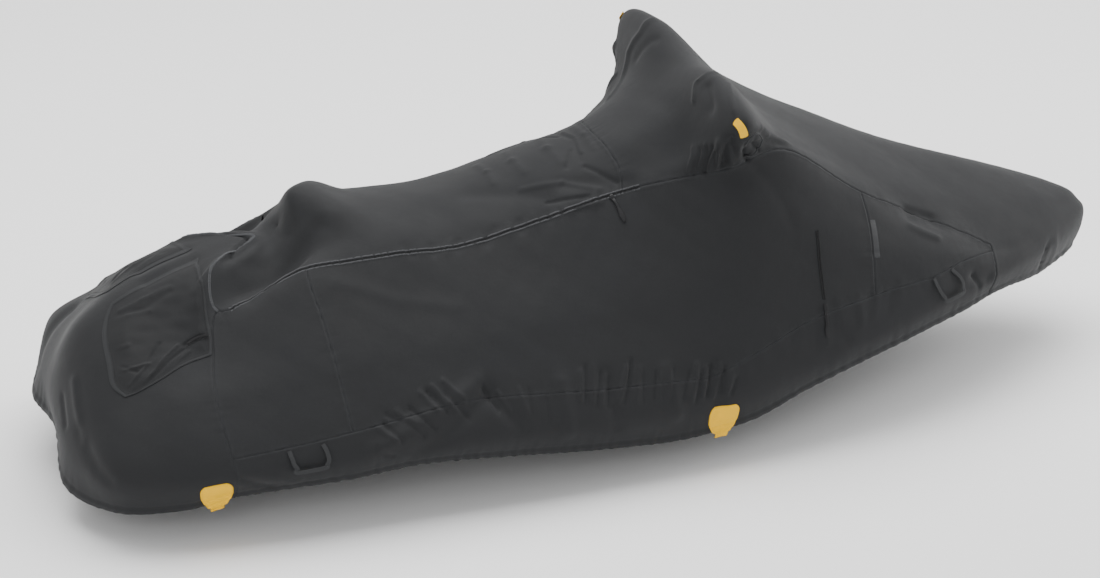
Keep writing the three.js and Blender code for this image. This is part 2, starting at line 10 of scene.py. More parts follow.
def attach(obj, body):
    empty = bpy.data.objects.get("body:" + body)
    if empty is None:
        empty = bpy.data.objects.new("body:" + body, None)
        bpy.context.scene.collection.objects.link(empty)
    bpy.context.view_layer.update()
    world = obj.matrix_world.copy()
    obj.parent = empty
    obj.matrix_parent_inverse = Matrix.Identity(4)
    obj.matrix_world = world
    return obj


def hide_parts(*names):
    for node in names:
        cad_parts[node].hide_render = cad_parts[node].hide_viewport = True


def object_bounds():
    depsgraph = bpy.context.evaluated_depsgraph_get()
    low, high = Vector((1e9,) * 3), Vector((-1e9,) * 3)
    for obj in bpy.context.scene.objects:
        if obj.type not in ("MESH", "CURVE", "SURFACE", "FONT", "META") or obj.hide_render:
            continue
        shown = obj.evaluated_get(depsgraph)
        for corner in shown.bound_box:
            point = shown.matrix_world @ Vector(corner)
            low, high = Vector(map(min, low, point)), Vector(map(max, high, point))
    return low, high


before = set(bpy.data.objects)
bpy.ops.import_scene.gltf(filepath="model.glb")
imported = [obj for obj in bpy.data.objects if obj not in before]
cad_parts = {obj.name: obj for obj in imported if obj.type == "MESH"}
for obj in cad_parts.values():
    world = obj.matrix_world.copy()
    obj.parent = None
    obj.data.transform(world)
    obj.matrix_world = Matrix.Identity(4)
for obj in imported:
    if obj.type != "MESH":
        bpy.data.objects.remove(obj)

bl_info = {
    "name": "Personal watercraft cover",
    "version": (1, 0, 0),
    "blender": (4, 5, 0),
    "location": "View3D > Sidebar > Cover",
    "description": "Sews the fitted cloth cover over its packed solids",
    "category": "Add Mesh",
}

CAD_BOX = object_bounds()
MM = 0.001
STARBOARD = -1
PORT = 1
BOTH = 0
SIDES = {"starboard": STARBOARD, "port": PORT}

# ---- the cloth's shape, from the same tables as the solids (millimetres) ----
HELD_HEIGHT = 680
# For each line: how far forward of the origin, out from the centre plane and up, at each station.
LINES = {
    "hem": [
        [-1160, -1204, -1108, -930, -780, -440, -220, 20, 300, 530, 680, 820, 1000, 1220, 1490, 1750,
         1980, 2150],
        [0, 220, 433, 520, 545, 580, 588, 594, 600, 600, 597, 590, 575, 540, 463, 338, 165, 0],
        [100, 26, 21, 37, 65, 78, 93, 75, 50, 33, 38, 55, 115, 167, 206, 220, 175, 178],
    ],
    "bumper": [
        [-1172, -1182, -1120, -960, -790, -435, -220, 20, 300, 530, 680, 820, 1010, 1230, 1500, 1770,
         2008, 2182],
        [0, 240, 460, 555, 590, 617, 622, 628, 632, 630, 625, 620, 600, 565, 485, 360, 190, 0],
        [220, 165, 150, 150, 155, 160, 165, 160, 150, 150, 155, 165, 205, 250, 290, 295, 270, 246],
    ],
    "slope": [
        [-1090, -1070, -1010, -920, -800, -440, -210, 20, 300, 530, 680, 820, 1010, 1250, 1510, 1770,
         2018, 2188],
        [0, 180, 330, 420, 450, 490, 480, 475, 480, 480, 500, 520, 510, 490, 440, 345, 180, 0],
        [420, 390, 340, 335, 330, 360, 380, 390, 400, 410, 430, 460, 480, 450, 410, 335, 318, 292],
    ],
    "flank": [
        [-810, -850, -850, -820, -770, -445, -210, 20, 300, 540, 670, 820, 1010, 1260, 1520, 1770,
         2015, 2184],
        [0, 90, 190, 250, 330, 360, 360, 360, 360, 360, 400, 460, 445, 430, 395, 330, 170, 0],
        [580, 545, 480, 450, 415, 490, 500, 500, 530, 560, 590, 640, 660, 550, 450, 350, 338, 308],
    ],
    "seam": [
        [-535, -600, -670, -712, -720, -450, -200, 25, 288, 540, 665, 820, 1000, 1260, 1530, 1760,
         2005, 2170],
        [0, 50, 90, 130, 220, 240, 240, 240, 240, 240, 300, 400, 360, 360, 335, 310, 150, 0],
        [625, 622, 615, 595, 507, 602, 612, 605, 650, 700, 740, 795, 812, 633, 480, 380, 368, 325],
    ],
    "shoulder": [
        [-500, -510, -520, -530, -505, -400, -200, 30, 300, 550, 700, 830, 1010, 1280, 1540, 1780,
         1985, 2150],
        [0, 50, 90, 130, 165, 180, 180, 180, 180, 190, 260, 470, 315, 270, 240, 210, 120, 0],
        [622, 617, 602, 572, 560, 640, 650, 645, 695, 745, 800, 960, 836, 665, 540, 440, 402, 350],
    ],
    "crown": [
        [-480, -480, -475, -460, -420, -345, -200, 30, 300, 540, 720, 830, 1020, 1280, 1540, 1780,
         1960, 2126],
        [0, 40, 70, 90, 100, 100, 100, 100, 100, 110, 170, 260, 170, 140, 120, 100, 70, 0],
        [632, 632, 633, 640, 680, 728, 682, 669, 732, 785, 880, 1025, 845, 705, 580, 490, 428, 366],
    ],
    "centre": [
        [-460, -457, -450, -440, -420, -365, -200, 30, 300, 530, 700, 840, 1020, 1280, 1540, 1780,
         1960, 2102],
        [0, 0, 0, 0, 0, 0, 0, 0, 0, 0, 0, 0, 0, 0, 0, 0, 0, 0],
        [646, 655, 676, 706, 752, 762, 696, 681, 747, 800, 880, 990, 850, 720, 600, 510, 436, 376],
    ],
}
# The port stern is tucked in and up: line, station, forward, up.
PORT_TUCK = [
    ("hem", 1, 35, 90), ("hem", 2, 45, 110), ("hem", 3, 0, 50),
    ("bumper", 1, 60, 70), ("bumper", 2, 80, 95), ("bumper", 3, 0, 40),
    ("slope", 1, 70, 20), ("slope", 2, 70, 35), ("slope", 3, 30, 10),
    ("flank", 1, 0, 10), ("flank", 2, 0, 25), ("flank", 3, 0, 10),
    ("seam", 5, 0, -32), ("flank", 5, 0, -25), ("seam", 4, 0, -10),
]
# Height of the seams between the lines at each station.
SKIRT_SEAM = [
    (0, 1.27), (4, 1.27), (5, 1.38), (6.8, 1.47), (8.1, 1.37), (10, 1.27), (12, 1.5),
    (13.2, 1.6), (13.8, 1.6), (14.1, 1.73), (14.43, 2.03), (14.75, 2.85), (16, 1.7), (17, 1.7),
]
TOP_SEAM = [
    (0, 4), (4.2, 4), (4.45, 4.22), (4.9, 4.13), (5.4, 4), (13.1, 4), (13.57, 4.1),
    (14.03, 4.03), (14.47, 3.87), (14.75, 3.45), (16, 4), (17, 4),
]
BOW_POINT = 14.75
# The main folds of the solids, by side: half width and rise in mm, then station and height of each
# end.
FOLDS = [
    (BOTH, [
        (26, 9, 5.27, 1.1, 6.8, 1.63), (24, -8, 5.9, 0.9, 6.85, 1.5), (26, -9, 6.87, 1.6, 7.2, 1.1),
        (24, 7, 7.7, 1.5, 7.7, 0.9), (24, -7, 8.25, 1.5, 8.3, 0.9), (24, 7, 9.1, 1.45, 9.2, 0.9),
        (24, -7, 10.1, 1.4, 10.1, 0.9), (14, -11, 10.43, 4.7, 10.5, 4.05),
        (13, 9, 10.62, 4.75, 10.72, 4.1), (13, -11, 10.8, 4.7, 10.88, 4.1),
        (13, 8, 11.0, 4.55, 11.05, 4.1), (26, -9, 0.35, 2.8, 0.45, 3.3),
        (26, -7, 13.62, 3.8, 14.0, 3.95),
    ]),
    (STARBOARD, [(22, -8, 14.4, 1.35, 14.62, 1.1)]),
    (BOTH, [(34, -9, 4.35, 4.2, 4.75, 5.6)]),
    (STARBOARD, [
        (28, -7, 8.3, 5.2, 9.1, 4.3), (30, -6, 7.3, 6.3, 8.1, 4.8),
    ]),
    (PORT, [(34, -10, 1.2, 0.5, 1.5, 1.6)]),
]
# Strips and cords sewn on: station, height, width and lift in mm.
ZIP_PULL = [
    (8.83, 4.02, 9, 4.3), (8.84, 3.93, 12, 4.2), (8.86, 3.84, 8, 4.4),
    (8.88, 3.72, 8, 4.6), (8.9, 3.58, 13, 4), (8.92, 3.46, 10, 3.4),
]
REAR_PULL = [(4.3, 5.2, 10, 1.2), (4.26, 5.25, 12, 3.4), (4.22, 5.3, 14, 8), (4.15, 5.4, 12, 14)]
VENT_PULL = [
    (12.25, 1.62, 10, 0.7), (12.25, 1.58, 14, 1.3), (12.24, 1.52, 9, 2),
    (12.24, 1.44, 9, 2.4), (12.23, 1.36, 14, 2), (12.23, 1.28, 10, 1.4),
]
POD_TAG = [(10.86, 5.12, 24, 5), (10.94, 4.94, 25, 3.6), (11.03, 4.7, 25, 3)]
DRAWCORD = [
    (11.12, 4.5, 5, 1), (11.16, 4.72, 5, 6), (11.3, 4.78, 5, 9),
    (11.44, 4.62, 5, 10), (11.47, 4.36, 5, 9), (11.38, 4.16, 5, 6),
    (11.24, 4.12, 5, 1),
]
REAR_LOOP = [
    (4.47, 1.28, 13, 1), (4.475, 1.18, 13, 5), (4.5, 1.02, 13, 11),
    (4.57, 0.93, 13, 14), (4.66, 0.94, 13, 14), (4.735, 1.02, 13, 12),
    (4.75, 1.18, 13, 6), (4.73, 1.3, 13, 1),
]
BOW_LOOP = [
    (13.8, 1.58, 12, 1), (13.84, 1.4, 12, 5), (13.92, 1.16, 12, 10),
    (14.03, 1.04, 12, 13), (14.13, 1.05, 12, 13), (14.19, 1.2, 12, 11),
    (14.17, 1.45, 12, 6), (14.07, 1.68, 12, 1),
]
GUSSET_STRAP = [(3.02, 2.9, 8, 9.2), (3.3, 3.08, 8, 9.5), (3.62, 3.27, 8, 9.2), (3.86, 3.4, 8, 8)]
# A moulded tab's outline: share of its length from its top, width in mm.
TAB_OUTLINE = [
    (0, 66), (0.04, 80), (0.12, 92), (0.24, 97), (0.4, 96), (0.58, 87),
    (0.74, 71), (0.825, 60), (0.84, 45), (0.92, 42), (0.985, 42), (1, 38),
]
# Station and height of a gathered panel's rear edge and of its front edge, from its foot up.
GUSSET_EDGES = [
    (1.83, 1.9, 3.95, 3.05), (1.47, 1.9, 3.95, 3.5), (1.2, 2.03, 3.62, 3.82),
    (0.73, 2.2, 2.5, 3.72), (0.27, 2.43, 0.43, 3.37),
]

LAST_STATION = len(LINES["hem"][0]) - 1
CENTRE = len(LINES) - 1
ROUND = 2 * LAST_STATION  # turns once round the cover: starboard 0 to 17, port 17 to 34


def line_loops():
    """Every shaping line as a closed loop of points, out along starboard and back along port."""
    loops = []
    for name, rows in LINES.items():
        starboard = np.transpose(rows) * (1.0, STARBOARD, 1)
        port = starboard * (1, -1, 1)
        for line, station, forward, up in PORT_TUCK:
            if line == name:
                port[station] += (forward, 0, up)
        loops.append(np.concatenate([starboard, port[-2:0:-1]]) - (0, 0, HELD_HEIGHT))
    return np.stack(loops) * MM


LOOPS = line_loops()


def unit(vectors):
    return vectors / np.linalg.norm(vectors, axis=-1, keepdims=True)


def through(before, start, stop, after, share):
    """A point between start and stop on the centripetal curve through the four."""
    def step(a, b):
        return (((a - b) ** 2).sum(-1) ** 0.25)[..., None]

    first, middle, last = step(before, start), step(start, stop), step(stop, after)
    middle = np.where(middle < 1e-4, 1.0, middle)
    first = np.where(first < 1e-4, middle, first)
    last = np.where(last < 1e-4, middle, last)
    leave = (start - before) / first - (stop - before) / (first + middle) + (stop - start) / middle
    arrive = (stop - start) / middle - (after - start) / (middle + last) + (after - stop) / last
    leave, arrive, share = leave * middle, arrive * middle, share[..., None]
    square, cube = share**2, share**3
    return (
        start
        + leave * share
        + (3 * (stop - start) - 2 * leave - arrive) * square
        + (2 * (start - stop) + leave + arrive) * cube
    )


def line_points(line, turn):
    """The points of one shaping line at turns round the cover."""
    turn = turn % ROUND
    at = np.floor(turn).astype(int)
    loop = LOOPS[line]
    return through(*(loop[(at + step) % ROUND] for step in (-1, 0, 1, 2)), turn - at)


def form(turn, height):
    """The smooth form at turns round the cover and heights from the hem (0) to the centre (7)."""
    turn, height = np.broadcast_arrays(np.asarray(turn, float), np.asarray(height, float))
    over = height > CENTRE
    turn = np.where(over, -turn, turn)
    height = np.where(over, 2 * CENTRE - height, height)
    ribs = [line_points(line, turn) for line in range(CENTRE + 1)]
    ribs.append(line_points(CENTRE - 1, -turn))
    ribs.insert(0, 2 * ribs[0] - ribs[1])
    ribs = np.stack(ribs, axis=-2)
    within = np.clip(height, 0, CENTRE)
    at = np.minimum(np.floor(within).astype(int), CENTRE - 1)

    def rib(step):
        return np.take_along_axis(ribs, (at + 1 + step)[..., None, None], axis=-2)[..., 0, :]

    point = through(rib(-1), rib(0), rib(1), rib(2), within - at)
    below = np.minimum(height, 0)[..., None]
    return point + below * (ribs[..., 2, :] - ribs[..., 1, :]) if (height < 0).any() else point


def form_normal(turn, height):
    """The way out of the smooth form; at the two ends of the centre line it is taken a little below."""
    nudge = 0.02
    turn, height = np.broadcast_arrays(np.asarray(turn, float), np.maximum(height, 0))
    end = np.abs(np.sin(np.pi * turn / LAST_STATION)) < 0.25 * nudge
    height = np.where(end & (height > CENTRE - nudge), CENTRE - 3 * nudge, height)
    along = form(turn + nudge, height) - form(turn - nudge, height)
    up = form(turn, height + nudge) - form(turn, np.maximum(height - nudge, 0))
    return unit(np.cross(along, up))


def turn_of(side, station):
    """The turn that meets a station on that side."""
    return station if side == STARBOARD else -np.asarray(station, float)


def station_of(turn):
    return np.minimum(np.asarray(turn) % ROUND, -np.asarray(turn) % ROUND)


def skirt_seam(turn):
    """The height of the seam over the skirt; the others below are like it."""
    return np.interp(station_of(turn), *np.transpose(SKIRT_SEAM))


def top_seam(turn):
    return np.interp(station_of(turn), *np.transpose(TOP_SEAM))


def hem(turn):
    return np.zeros_like(np.asarray(turn, float))


def centre(turn):
    return np.full_like(np.asarray(turn, float), CENTRE)


# ---- what is sewn on the form ----
EDGE_STEPS = np.array([0, 1.2, 2.6, 4.4, 6.6, 9.4, 13, 18, 25])  # rows beside a seam, mm from it
SIDE_PANELS = {
    "quarter_panel": (4, 5, skirt_seam, top_seam),
    "side_panel": (5, 13, skirt_seam, top_seam),
    "bow_side_panel": (13, BOW_POINT, skirt_seam, top_seam),
    "skirt": (4, BOW_POINT, hem, skirt_seam),
}
# Between these stations a panel's columns lie twice as close, where its folds are small.
CLOSER = {
    "hood_panel": (10.1, 11.6),
    "side_panel": (5.2, 10.7),
    "skirt": (5.2, 10.7),
    "seat_panel": (7.3, 9.0),
}
HOOD_SPACING = 1.14  # the hood's points lie that much further apart
LAP = 0.008  # how far a panel reaches under its neighbour at a seam
# The gathered panels.
BORDER_ROWS = (1, 4)  # rows of stitches in the border, in hundredths of the panel from its edge
BORDER_CORDS, CORD_SHARE = (0.25, 0.85), 0.16  # their places and half width, as shares of the border
PUFF_SLOPE = 0.05  # width of the slope from the border to the puffed middle
PUFF_RIPPLES = 0.0007  # height of the ripples between the wrinkles
# Short folds on a seam: seam, stations, reach above and below, count, width, rise (mm), seed.
GATHERS = [
    (skirt_seam, 12.0, 13.4, 0.1, 0.3, 10, 9, 1.6, 4),
    (skirt_seam, 10.6, 11.9, 0.1, 0.2, 8, 9, 1.0, 2),
    (top_seam, 13.1, 14.4, 0.1, 0.12, 7, 12, 1.6, 7),
    (top_seam, 6.2, 8.9, 0.3, 0.14, 15, 10, 2.2, 8),
]
# Creases drawn one by one, by side: half width and rise in mm, then station and height of each stop.
CREASES = [
    (PORT, [
        (12, 7, 10.97, 6.07, 10.63, 5.97, 10.36, 5.6, 10.1, 5.5, 9.6, 5.75),
        (16, -4, 10.75, 6.4, 10.5, 6.2, 10.3, 6.0),
    ]),
    (BOTH, [
        (14, -5, 2.6, 4.2, 1.8, 4.4, 0.8, 4.4), (16, 3, 2.9, 4.35, 1.9, 4.6, 0.8, 4.6),
        (10, -3, 8.73, 6.9, 8.66, 6.4, 8.63, 5.9), (12, 3, 7.6, 6.3, 7.62, 7),
        (14, 3.5, 7.95, 6.2, 7.92, 7), (15, 4, 8.4, 6.1, 8.38, 7), (11, 3, 8.86, 6.2, 8.9, 7),
        (12, -4, 11.5, 4.7, 11.7, 4.5, 12.0, 4.3), (12, 3, 11.5, 4.95, 11.8, 4.75, 12.1, 4.6),
        (22, -3, 12.45, 1.3, 12.6, 1.0, 12.85, 0.6),
    ]),
    (STARBOARD, [
        (16, 5, 0.66, 1.6, 0.95, 1.4, 1.27, 1.2), (22, -6, 1.13, 1.25, 1.5, 1.1, 1.93, 0.9),
        (12, -5, 0.47, 1.3, 0.6, 1.2, 0.73, 1.1),
    ]),
    (BOTH, [
        (20, 2, 5.3, 1.1, 5.9, 1.2), (12, -4, 3.97, 1.05, 4.12, 0.75, 4.3, 0.35),
        (16, 3, 4.1, 1.1, 4.3, 0.8, 4.5, 0.4), (24, 2.5, 5.3, 3.6, 6.0, 3.1, 6.8, 2.8),
        (26, -2, 9.3, 3.7, 9.9, 3.2, 10.4, 2.6), (22, 2, 10.0, 3.9, 10.5, 3.4, 11.0, 2.7),
        (20, -2, 11.4, 3.9, 11.7, 3.3, 11.9, 2.7),
    ]),
    (STARBOARD, [
        (7.5, -6.2, 5.83, 1.5, 6.13, 1.23), (7, -6.2, 6.1, 1.63, 6.3, 1.4),
        (7.5, 4.6, 6, 1.63, 6.2, 1.4), (7, 5.4, 6.33, 1.7, 6.53, 1.5),
        (7.5, -4.6, 6.33, 1.57, 6.57, 1.3), (7.5, 4.6, 6.17, 1.67, 6.43, 1.37),
        (7.5, -4.6, 5.8, 1.33, 5.97, 1.17), (7.5, 3.9, 5.63, 1.5, 5.87, 1.33),
        (7.5, -4.6, 5.43, 1.4, 5.63, 1.17), (7, 4.6, 5.33, 1.37, 5.57, 1.17),
        (7.5, -4.6, 5.27, 1.13, 5.5, 0.87), (7, -3.9, 5.47, 1.5, 5.67, 1.4),
        (7.5, -6.2, 6.83, 1.57, 6.97, 1.33), (7.5, 5.4, 7, 1.5, 7.1, 1.3),
        (7, -3.1, 7.33, 1.47, 7.33, 1.23), (7, 3.1, 7.23, 1.5, 7.27, 1.27),
        (7.5, -3.1, 7.5, 1.37, 7.5, 1.13), (7.5, 4.6, 7.93, 1.57, 7.87, 1.3),
        (6.5, -4.6, 8, 1.6, 7.93, 1.27), (6.5, 3.9, 8.1, 1.6, 8, 1.27),
        (6.5, -4.6, 8.17, 1.53, 8.07, 1.23), (6.5, 4.6, 8.23, 1.5, 8.1, 1.23),
        (6.5, -3.9, 8.3, 1.47, 8.2, 1.2), (7.5, 6.2, 8.53, 1.53, 8.33, 1.23),
        (7.5, -6.2, 8.6, 1.57, 8.43, 1.2), (7.5, 3.9, 8.7, 1.5, 8.57, 1.2),
        (6.5, -3.9, 8.73, 1.43, 8.67, 1.17), (6.5, -3.9, 8.93, 1.43, 8.83, 1.17),
        (6.5, 3.1, 9, 1.4, 8.9, 1.17), (5.5, -3.9, 9.23, 1.43, 9.1, 1.13),
        (6.5, -4.6, 9.57, 1.37, 9.33, 1.13), (7.5, 6.2, 9.73, 1.43, 9.53, 1.1),
        (6.5, -4.6, 9.8, 1.33, 9.63, 1.07), (6.5, 4.6, 9.9, 1.37, 9.77, 1.1),
        (7.5, -7.8, 10.03, 1.37, 9.87, 1.1), (7.5, 7, 10.23, 1.37, 10, 1.07),
        (6.5, -5.4, 10.33, 1.33, 10.2, 1.1), (7.5, 4.6, 10.47, 1.27, 10.3, 1.07),
        (6.5, -4.6, 10.57, 1.2, 10.43, 1.07),
    ]),
    (BOTH, [
        (7.5, 4.6, 10.23, 5, 10.3, 4.13), (7.5, -6.9, 10.33, 4.8, 10.4, 4),
        (7.5, 5.8, 10.4, 4.87, 10.47, 4.17), (7, -8, 10.53, 4.7, 10.57, 4),
        (6.5, -6.9, 10.63, 4.5, 10.7, 4.1), (6.5, 5.8, 10.67, 4.63, 10.77, 4.17),
        (6.5, -6.9, 10.73, 4.6, 10.83, 4.13), (6.5, 4.6, 10.83, 4.5, 10.97, 4.13),
        (6.5, -5.8, 10.93, 4.47, 11.07, 4.07), (6.5, 4.6, 11, 4.5, 11.17, 4.1),
        (7, -9.2, 11.17, 4.33, 11.33, 4), (6.5, -6.9, 11.3, 4.5, 11.53, 4.17),
        (5.5, -3.4, 11.17, 4.67, 11.57, 4.9), (5.5, 3.4, 11.27, 4.53, 11.7, 4.7),
    ]),
    (STARBOARD, [
        (8, 5.8, 10.43, 5.93, 10.6, 6.2, 10.8, 6.2, 11.1, 6.2), (24, -9.2, 10.73, 5.93, 10.6, 5.57),
        (8, 4.6, 11.17, 5.87, 10.97, 5.53, 10.9, 5.3),
    ]),
    (BOTH, [
        (6.5, 3.4, 8.77, 6.93, 8.7, 6.23), (8, -4.6, 8.63, 5.6, 8.77, 5.07, 8.93, 4.47),
        (9, 3.4, 8.3, 5.3, 8.7, 4.43), (7, -4, 8.6, 6.47, 8.43, 5.8), (7.5, 3.4, 8.37, 3.97, 8.7, 3.9),
        (7, -4.6, 8.07, 4.63, 8.57, 4.23), (10, 3.4, 7.83, 5.57, 8.27, 5.3),
        (7, -9.2, 2.23, 4.3, 0.9, 3.97, 0, 3.87), (13, -8, 13.6, 4.13, 13.77, 4.13, 13.93, 4.17),
        (14, 5.8, 13.6, 3.37, 13.93, 3.03),
    ]),
    (STARBOARD, [
        (9, -8, 15.77, 1.43, 15.73, 0.8, 15.83, 0.23), (11, 5.8, 15.93, 1.37, 16.1, 0.23),
        (8, -6.9, 14.4, 1.4, 14.5, 0.87),
    ]),
]
# Wrinkles of the gathered panels, in the same rows.
WRINKLES = [
    (6, -5, 1.03, 3.23, 0.53, 3.4), (7, -4, 0.73, 2.83, 1.07, 3.13), (7, 3, 0.83, 2.73, 1.23, 3.13),
    (6, 3, 0.63, 2.47, 1, 2.87), (10, -3.5, 0.63, 2.4, 1.13, 2.73, 1.3, 3.1),
    (6, 2.5, 0.9, 2.53, 1.3, 2.8), (7, 2.5, 1.13, 2.17, 1.4, 2.37), (5, 3.5, 1.53, 2.1, 1.97, 2.37),
    (5, -3, 1.43, 2.13, 1.87, 2.23), (5, 3.5, 1.83, 2.03, 2.03, 2.4),
    (7, -3.5, 2.03, 2.43, 2.03, 2.67), (6, 4, 2.17, 2.17, 2.43, 2.57, 2.67, 2.8),
    (6, -4, 2.3, 2.23, 2.63, 2.57, 3, 2.83), (6, 3, 2.5, 2.3, 2.83, 2.53, 3.17, 2.83),
    (7, -6, 2.93, 2.87, 3.5, 3.2, 3.97, 3.47), (6, -4, 3.4, 2.73, 3.97, 3.07),
]
LIFT = 0.4  # how far zips and piping stand off the cloth, in mm
# Zips: stations or heights of their ends and width in mm; for the teeth, in metres, how far each row
# is from the middle, lift and size, and the seed.
SEAT_ZIP = {"ends": (4.2, 9.34), "width": 18, "apart": 0.0012, "lift": 0.0022,
            "tooth": (0.0024, 0.0026, 0.0018), "seed": 3}
VENT_ZIP = {"ends": (2.62, 1.66), "width": 11, "apart": 0.0011, "lift": 0.0018,
            "tooth": (0.0024, 0.0024, 0.0016), "seed": 4, "station": 12.25}


def both_halves(half):
    """A section across a strip from its left half: share of half its width, height in mm."""
    return half + [(-share, height) for share, height in half[-2::-1]]


ZIP_SECTION = both_halves([(-1, 0), (-1, 1.0), (-0.9, 2.4), (-0.7, 3.0), (-0.5, 2.5), (-0.38, 1.2),
                           (0, 1.0)])
# Rows of the zip's section that are coloured paler: a painted highlight on its raised corded edges.
ZIP_PAINTED_HIGHLIGHT = [1, 1, 1, 1, 1, 0, 0, 0, 1, 1, 1, 1, 1]
VENT_SECTION = both_halves([(-1, 0), (-0.96, 1.2), (-0.7, 2.0), (-0.45, 1.5), (-0.3, 0.9), (0, 0.8)])
REFLECTIVE_STRIP = {"station": 13.05, "ends": (3.2, 2.15), "width": 20, "lift": 0.3}
PIPING = {"width": 9, "reach": 4}
PIPING_SECTION = both_halves([(-1, 0), (-1, 1.2), (-0.75, 3.2), (-0.4, 4.2), (-0.12, 3.6), (0, 2.2)])
TAG_SECTION = both_halves([(-1, 0), (-1, 1.2), (-0.9, 1.9), (-0.72, 1.5), (0, 1.4)])
# A moulded tab: sizes in mm, bumps in metres from its edge, crease as shares of its length and width.
TAB = {"length": 122, "thickness": 3, "lift": 0.3, "edge": 0.0012, "rim": 0.0048, "rim_width": 0.0022,
       "crease": (0.42, 0.012), "crease_depth": 0.9, "crease_share": 0.72}
NARROWEST = 0.02  # keeps the rounded ends of a strip from coming to a point
TAB_PLACES = [("rear_hem_tab", 3.65, 0.8), ("middle_hem_tab", 10.27, 0.82)]  # station, top
AIM = (0.4, 0.0, -0.38)  # what the camera and the lights look at
BACK = (-0.32584, -0.84884, 0.41628)  # from there towards the camera
SENSOR = 36.0  # width of the camera's sensor in mm
SIGHT = 200.0  # how far the camera sees
FLOOR_REACH = 40.0
AIR = 0.78  # strength of the light from all round
LIGHTS = [  # name, place, size; each has its power in the studio's group
    ("Overhead", (0.5, 1.2, 5.0), (8.0, 6.0)),
    ("Front", (-4.5, -7.0, 3.2), (4.0, 4.0)),
    ("Bow", (8.5, 0.0, 2.4), (3.0, 3.0)),
]


# ---- the relief of the cloth: folds, creases, seams and hem (metres) ----
# Irregular waves: share of the height, length, seed.
SLACK_WAVES = [(0.75, 0.26, 11), (0.3, 0.1, 12)]
PUCKER_WAVES = [(1, 0.03, 13), (0.6, 0.014, 14)]
HEM_WAVES = [(1, 0.045, 16), (0.3, 0.022, 17)]
WAVES = 6  # sine waves in a ripple
PATH_SAMPLES = 9  # points along a crease
CREASE_REACH = 2.6  # how far a crease is followed, in half widths
TRACK_SPACING = 0.004  # between the points of a seam's track
THREAD_DIP, THREAD_DIP_WIDTH = 0.4, 0.0012  # under the stitches: share of the welt, half width
CASING_DIP, CASING_DIP_WIDTH = 0.5, 0.003  # above the casing: share of the roll, half width


def surface_path(side, stops):
    """Points of the smooth form along a path of stops: station, height, station, height and so on."""
    stations, heights = stops[::2], stops[1::2]
    share = np.linspace(0, len(stations) - 1, PATH_SAMPLES)
    spots = np.arange(len(stations))
    return form(turn_of(side, np.interp(share, spots, stations)), np.interp(share, spots, heights))


def off_line(points, line):
    """How far points are from a line of points."""
    best = np.full(len(points), np.inf)
    for start, stop in zip(line[:-1], line[1:]):
        leg = stop - start
        share = np.clip((points - start) @ leg / (leg @ leg), 0, 1)
        best = np.minimum(best, ((points - start - share[:, None] * leg) ** 2).sum(1))
    return np.sqrt(best)


def ripple(at, length, seed):
    """A smooth irregular wave of about that length and a height near one, the same each run."""
    draw = np.random.default_rng(seed)
    at = at[:, None] if at.ndim == 1 else at
    total = np.zeros(len(at))
    for _ in range(WAVES):
        heading = draw.normal(size=at.shape[1])
        heading /= np.linalg.norm(heading)
        turns = at @ heading * (2 * math.pi / length) * draw.uniform(0.6, 1.5)
        total += np.sin(turns + draw.uniform(0, 7))
    return total / math.sqrt(WAVES)


def ripples(at, rows):
    """Several such waves added up, from rows of share, length and seed."""
    return sum(share * ripple(at, length, seed) for share, length, seed in rows)


def gathers():
    """Short folds square to a seam, from the rows of GATHERS."""
    rows = []
    for seam, start, stop, above, below, count, width, rise, seed in GATHERS:
        draw = np.random.default_rng(seed)
        for fold in range(count):
            station = start + (stop - start) * (fold + draw.uniform(0.25, 0.75)) / count
            middle = float(seam(station))
            top = middle + above * draw.uniform(0.5, 1.1)
            bottom = middle - below * draw.uniform(0.5, 1.1)
            lean = draw.uniform(-0.35, 0.35) * (stop - start) / count
            sign = 1 if fold % 2 else -1
            rows.append((
                width * draw.uniform(0.8, 1.3), sign * rise * draw.uniform(0.6, 1.2),
                station + lean, max(bottom, 0), station, middle, station - lean, min(top, CENTRE),
            ))
    return rows


def crease_lines():
    """Each fold and crease as a line on the smooth form, with its half width and rise."""
    lines = []
    for side, rows in FOLDS + CREASES + [(BOTH, gathers())]:
        for width, rise, *stops in rows:
            for which in (side,) if side else (STARBOARD, PORT):
                lines.append((surface_path(which, stops), width * MM, rise * MM))
    return lines


def crease_rise(points):
    """How far the folds and creases lift the cloth at points of the smooth form."""
    total = np.zeros(len(points))
    for line, width, rise in CREASE_LINES:
        reach = CREASE_REACH * width
        near = ((points > line.min(0) - reach) & (points < line.max(0) + reach)).all(1)
        if near.any():
            total[near] += rise * np.exp(-((off_line(points[near], line) / width) ** 2))
    return total


def arc(points):
    """How far along its line each point lies."""
    steps = np.linalg.norm(np.diff(points, axis=-2), axis=-1)
    return np.concatenate([np.zeros_like(steps[..., :1]), np.cumsum(steps, axis=-1)], axis=-1)


def evenly(points, spacing):
    """The line of points again, about that far apart, and how far along each one is."""
    along = arc(points)
    at = np.linspace(0, along[-1], max(2, round(along[-1] / spacing) + 1))
    return np.stack([np.interp(at, along, points[:, axis]) for axis in range(3)], axis=1), at


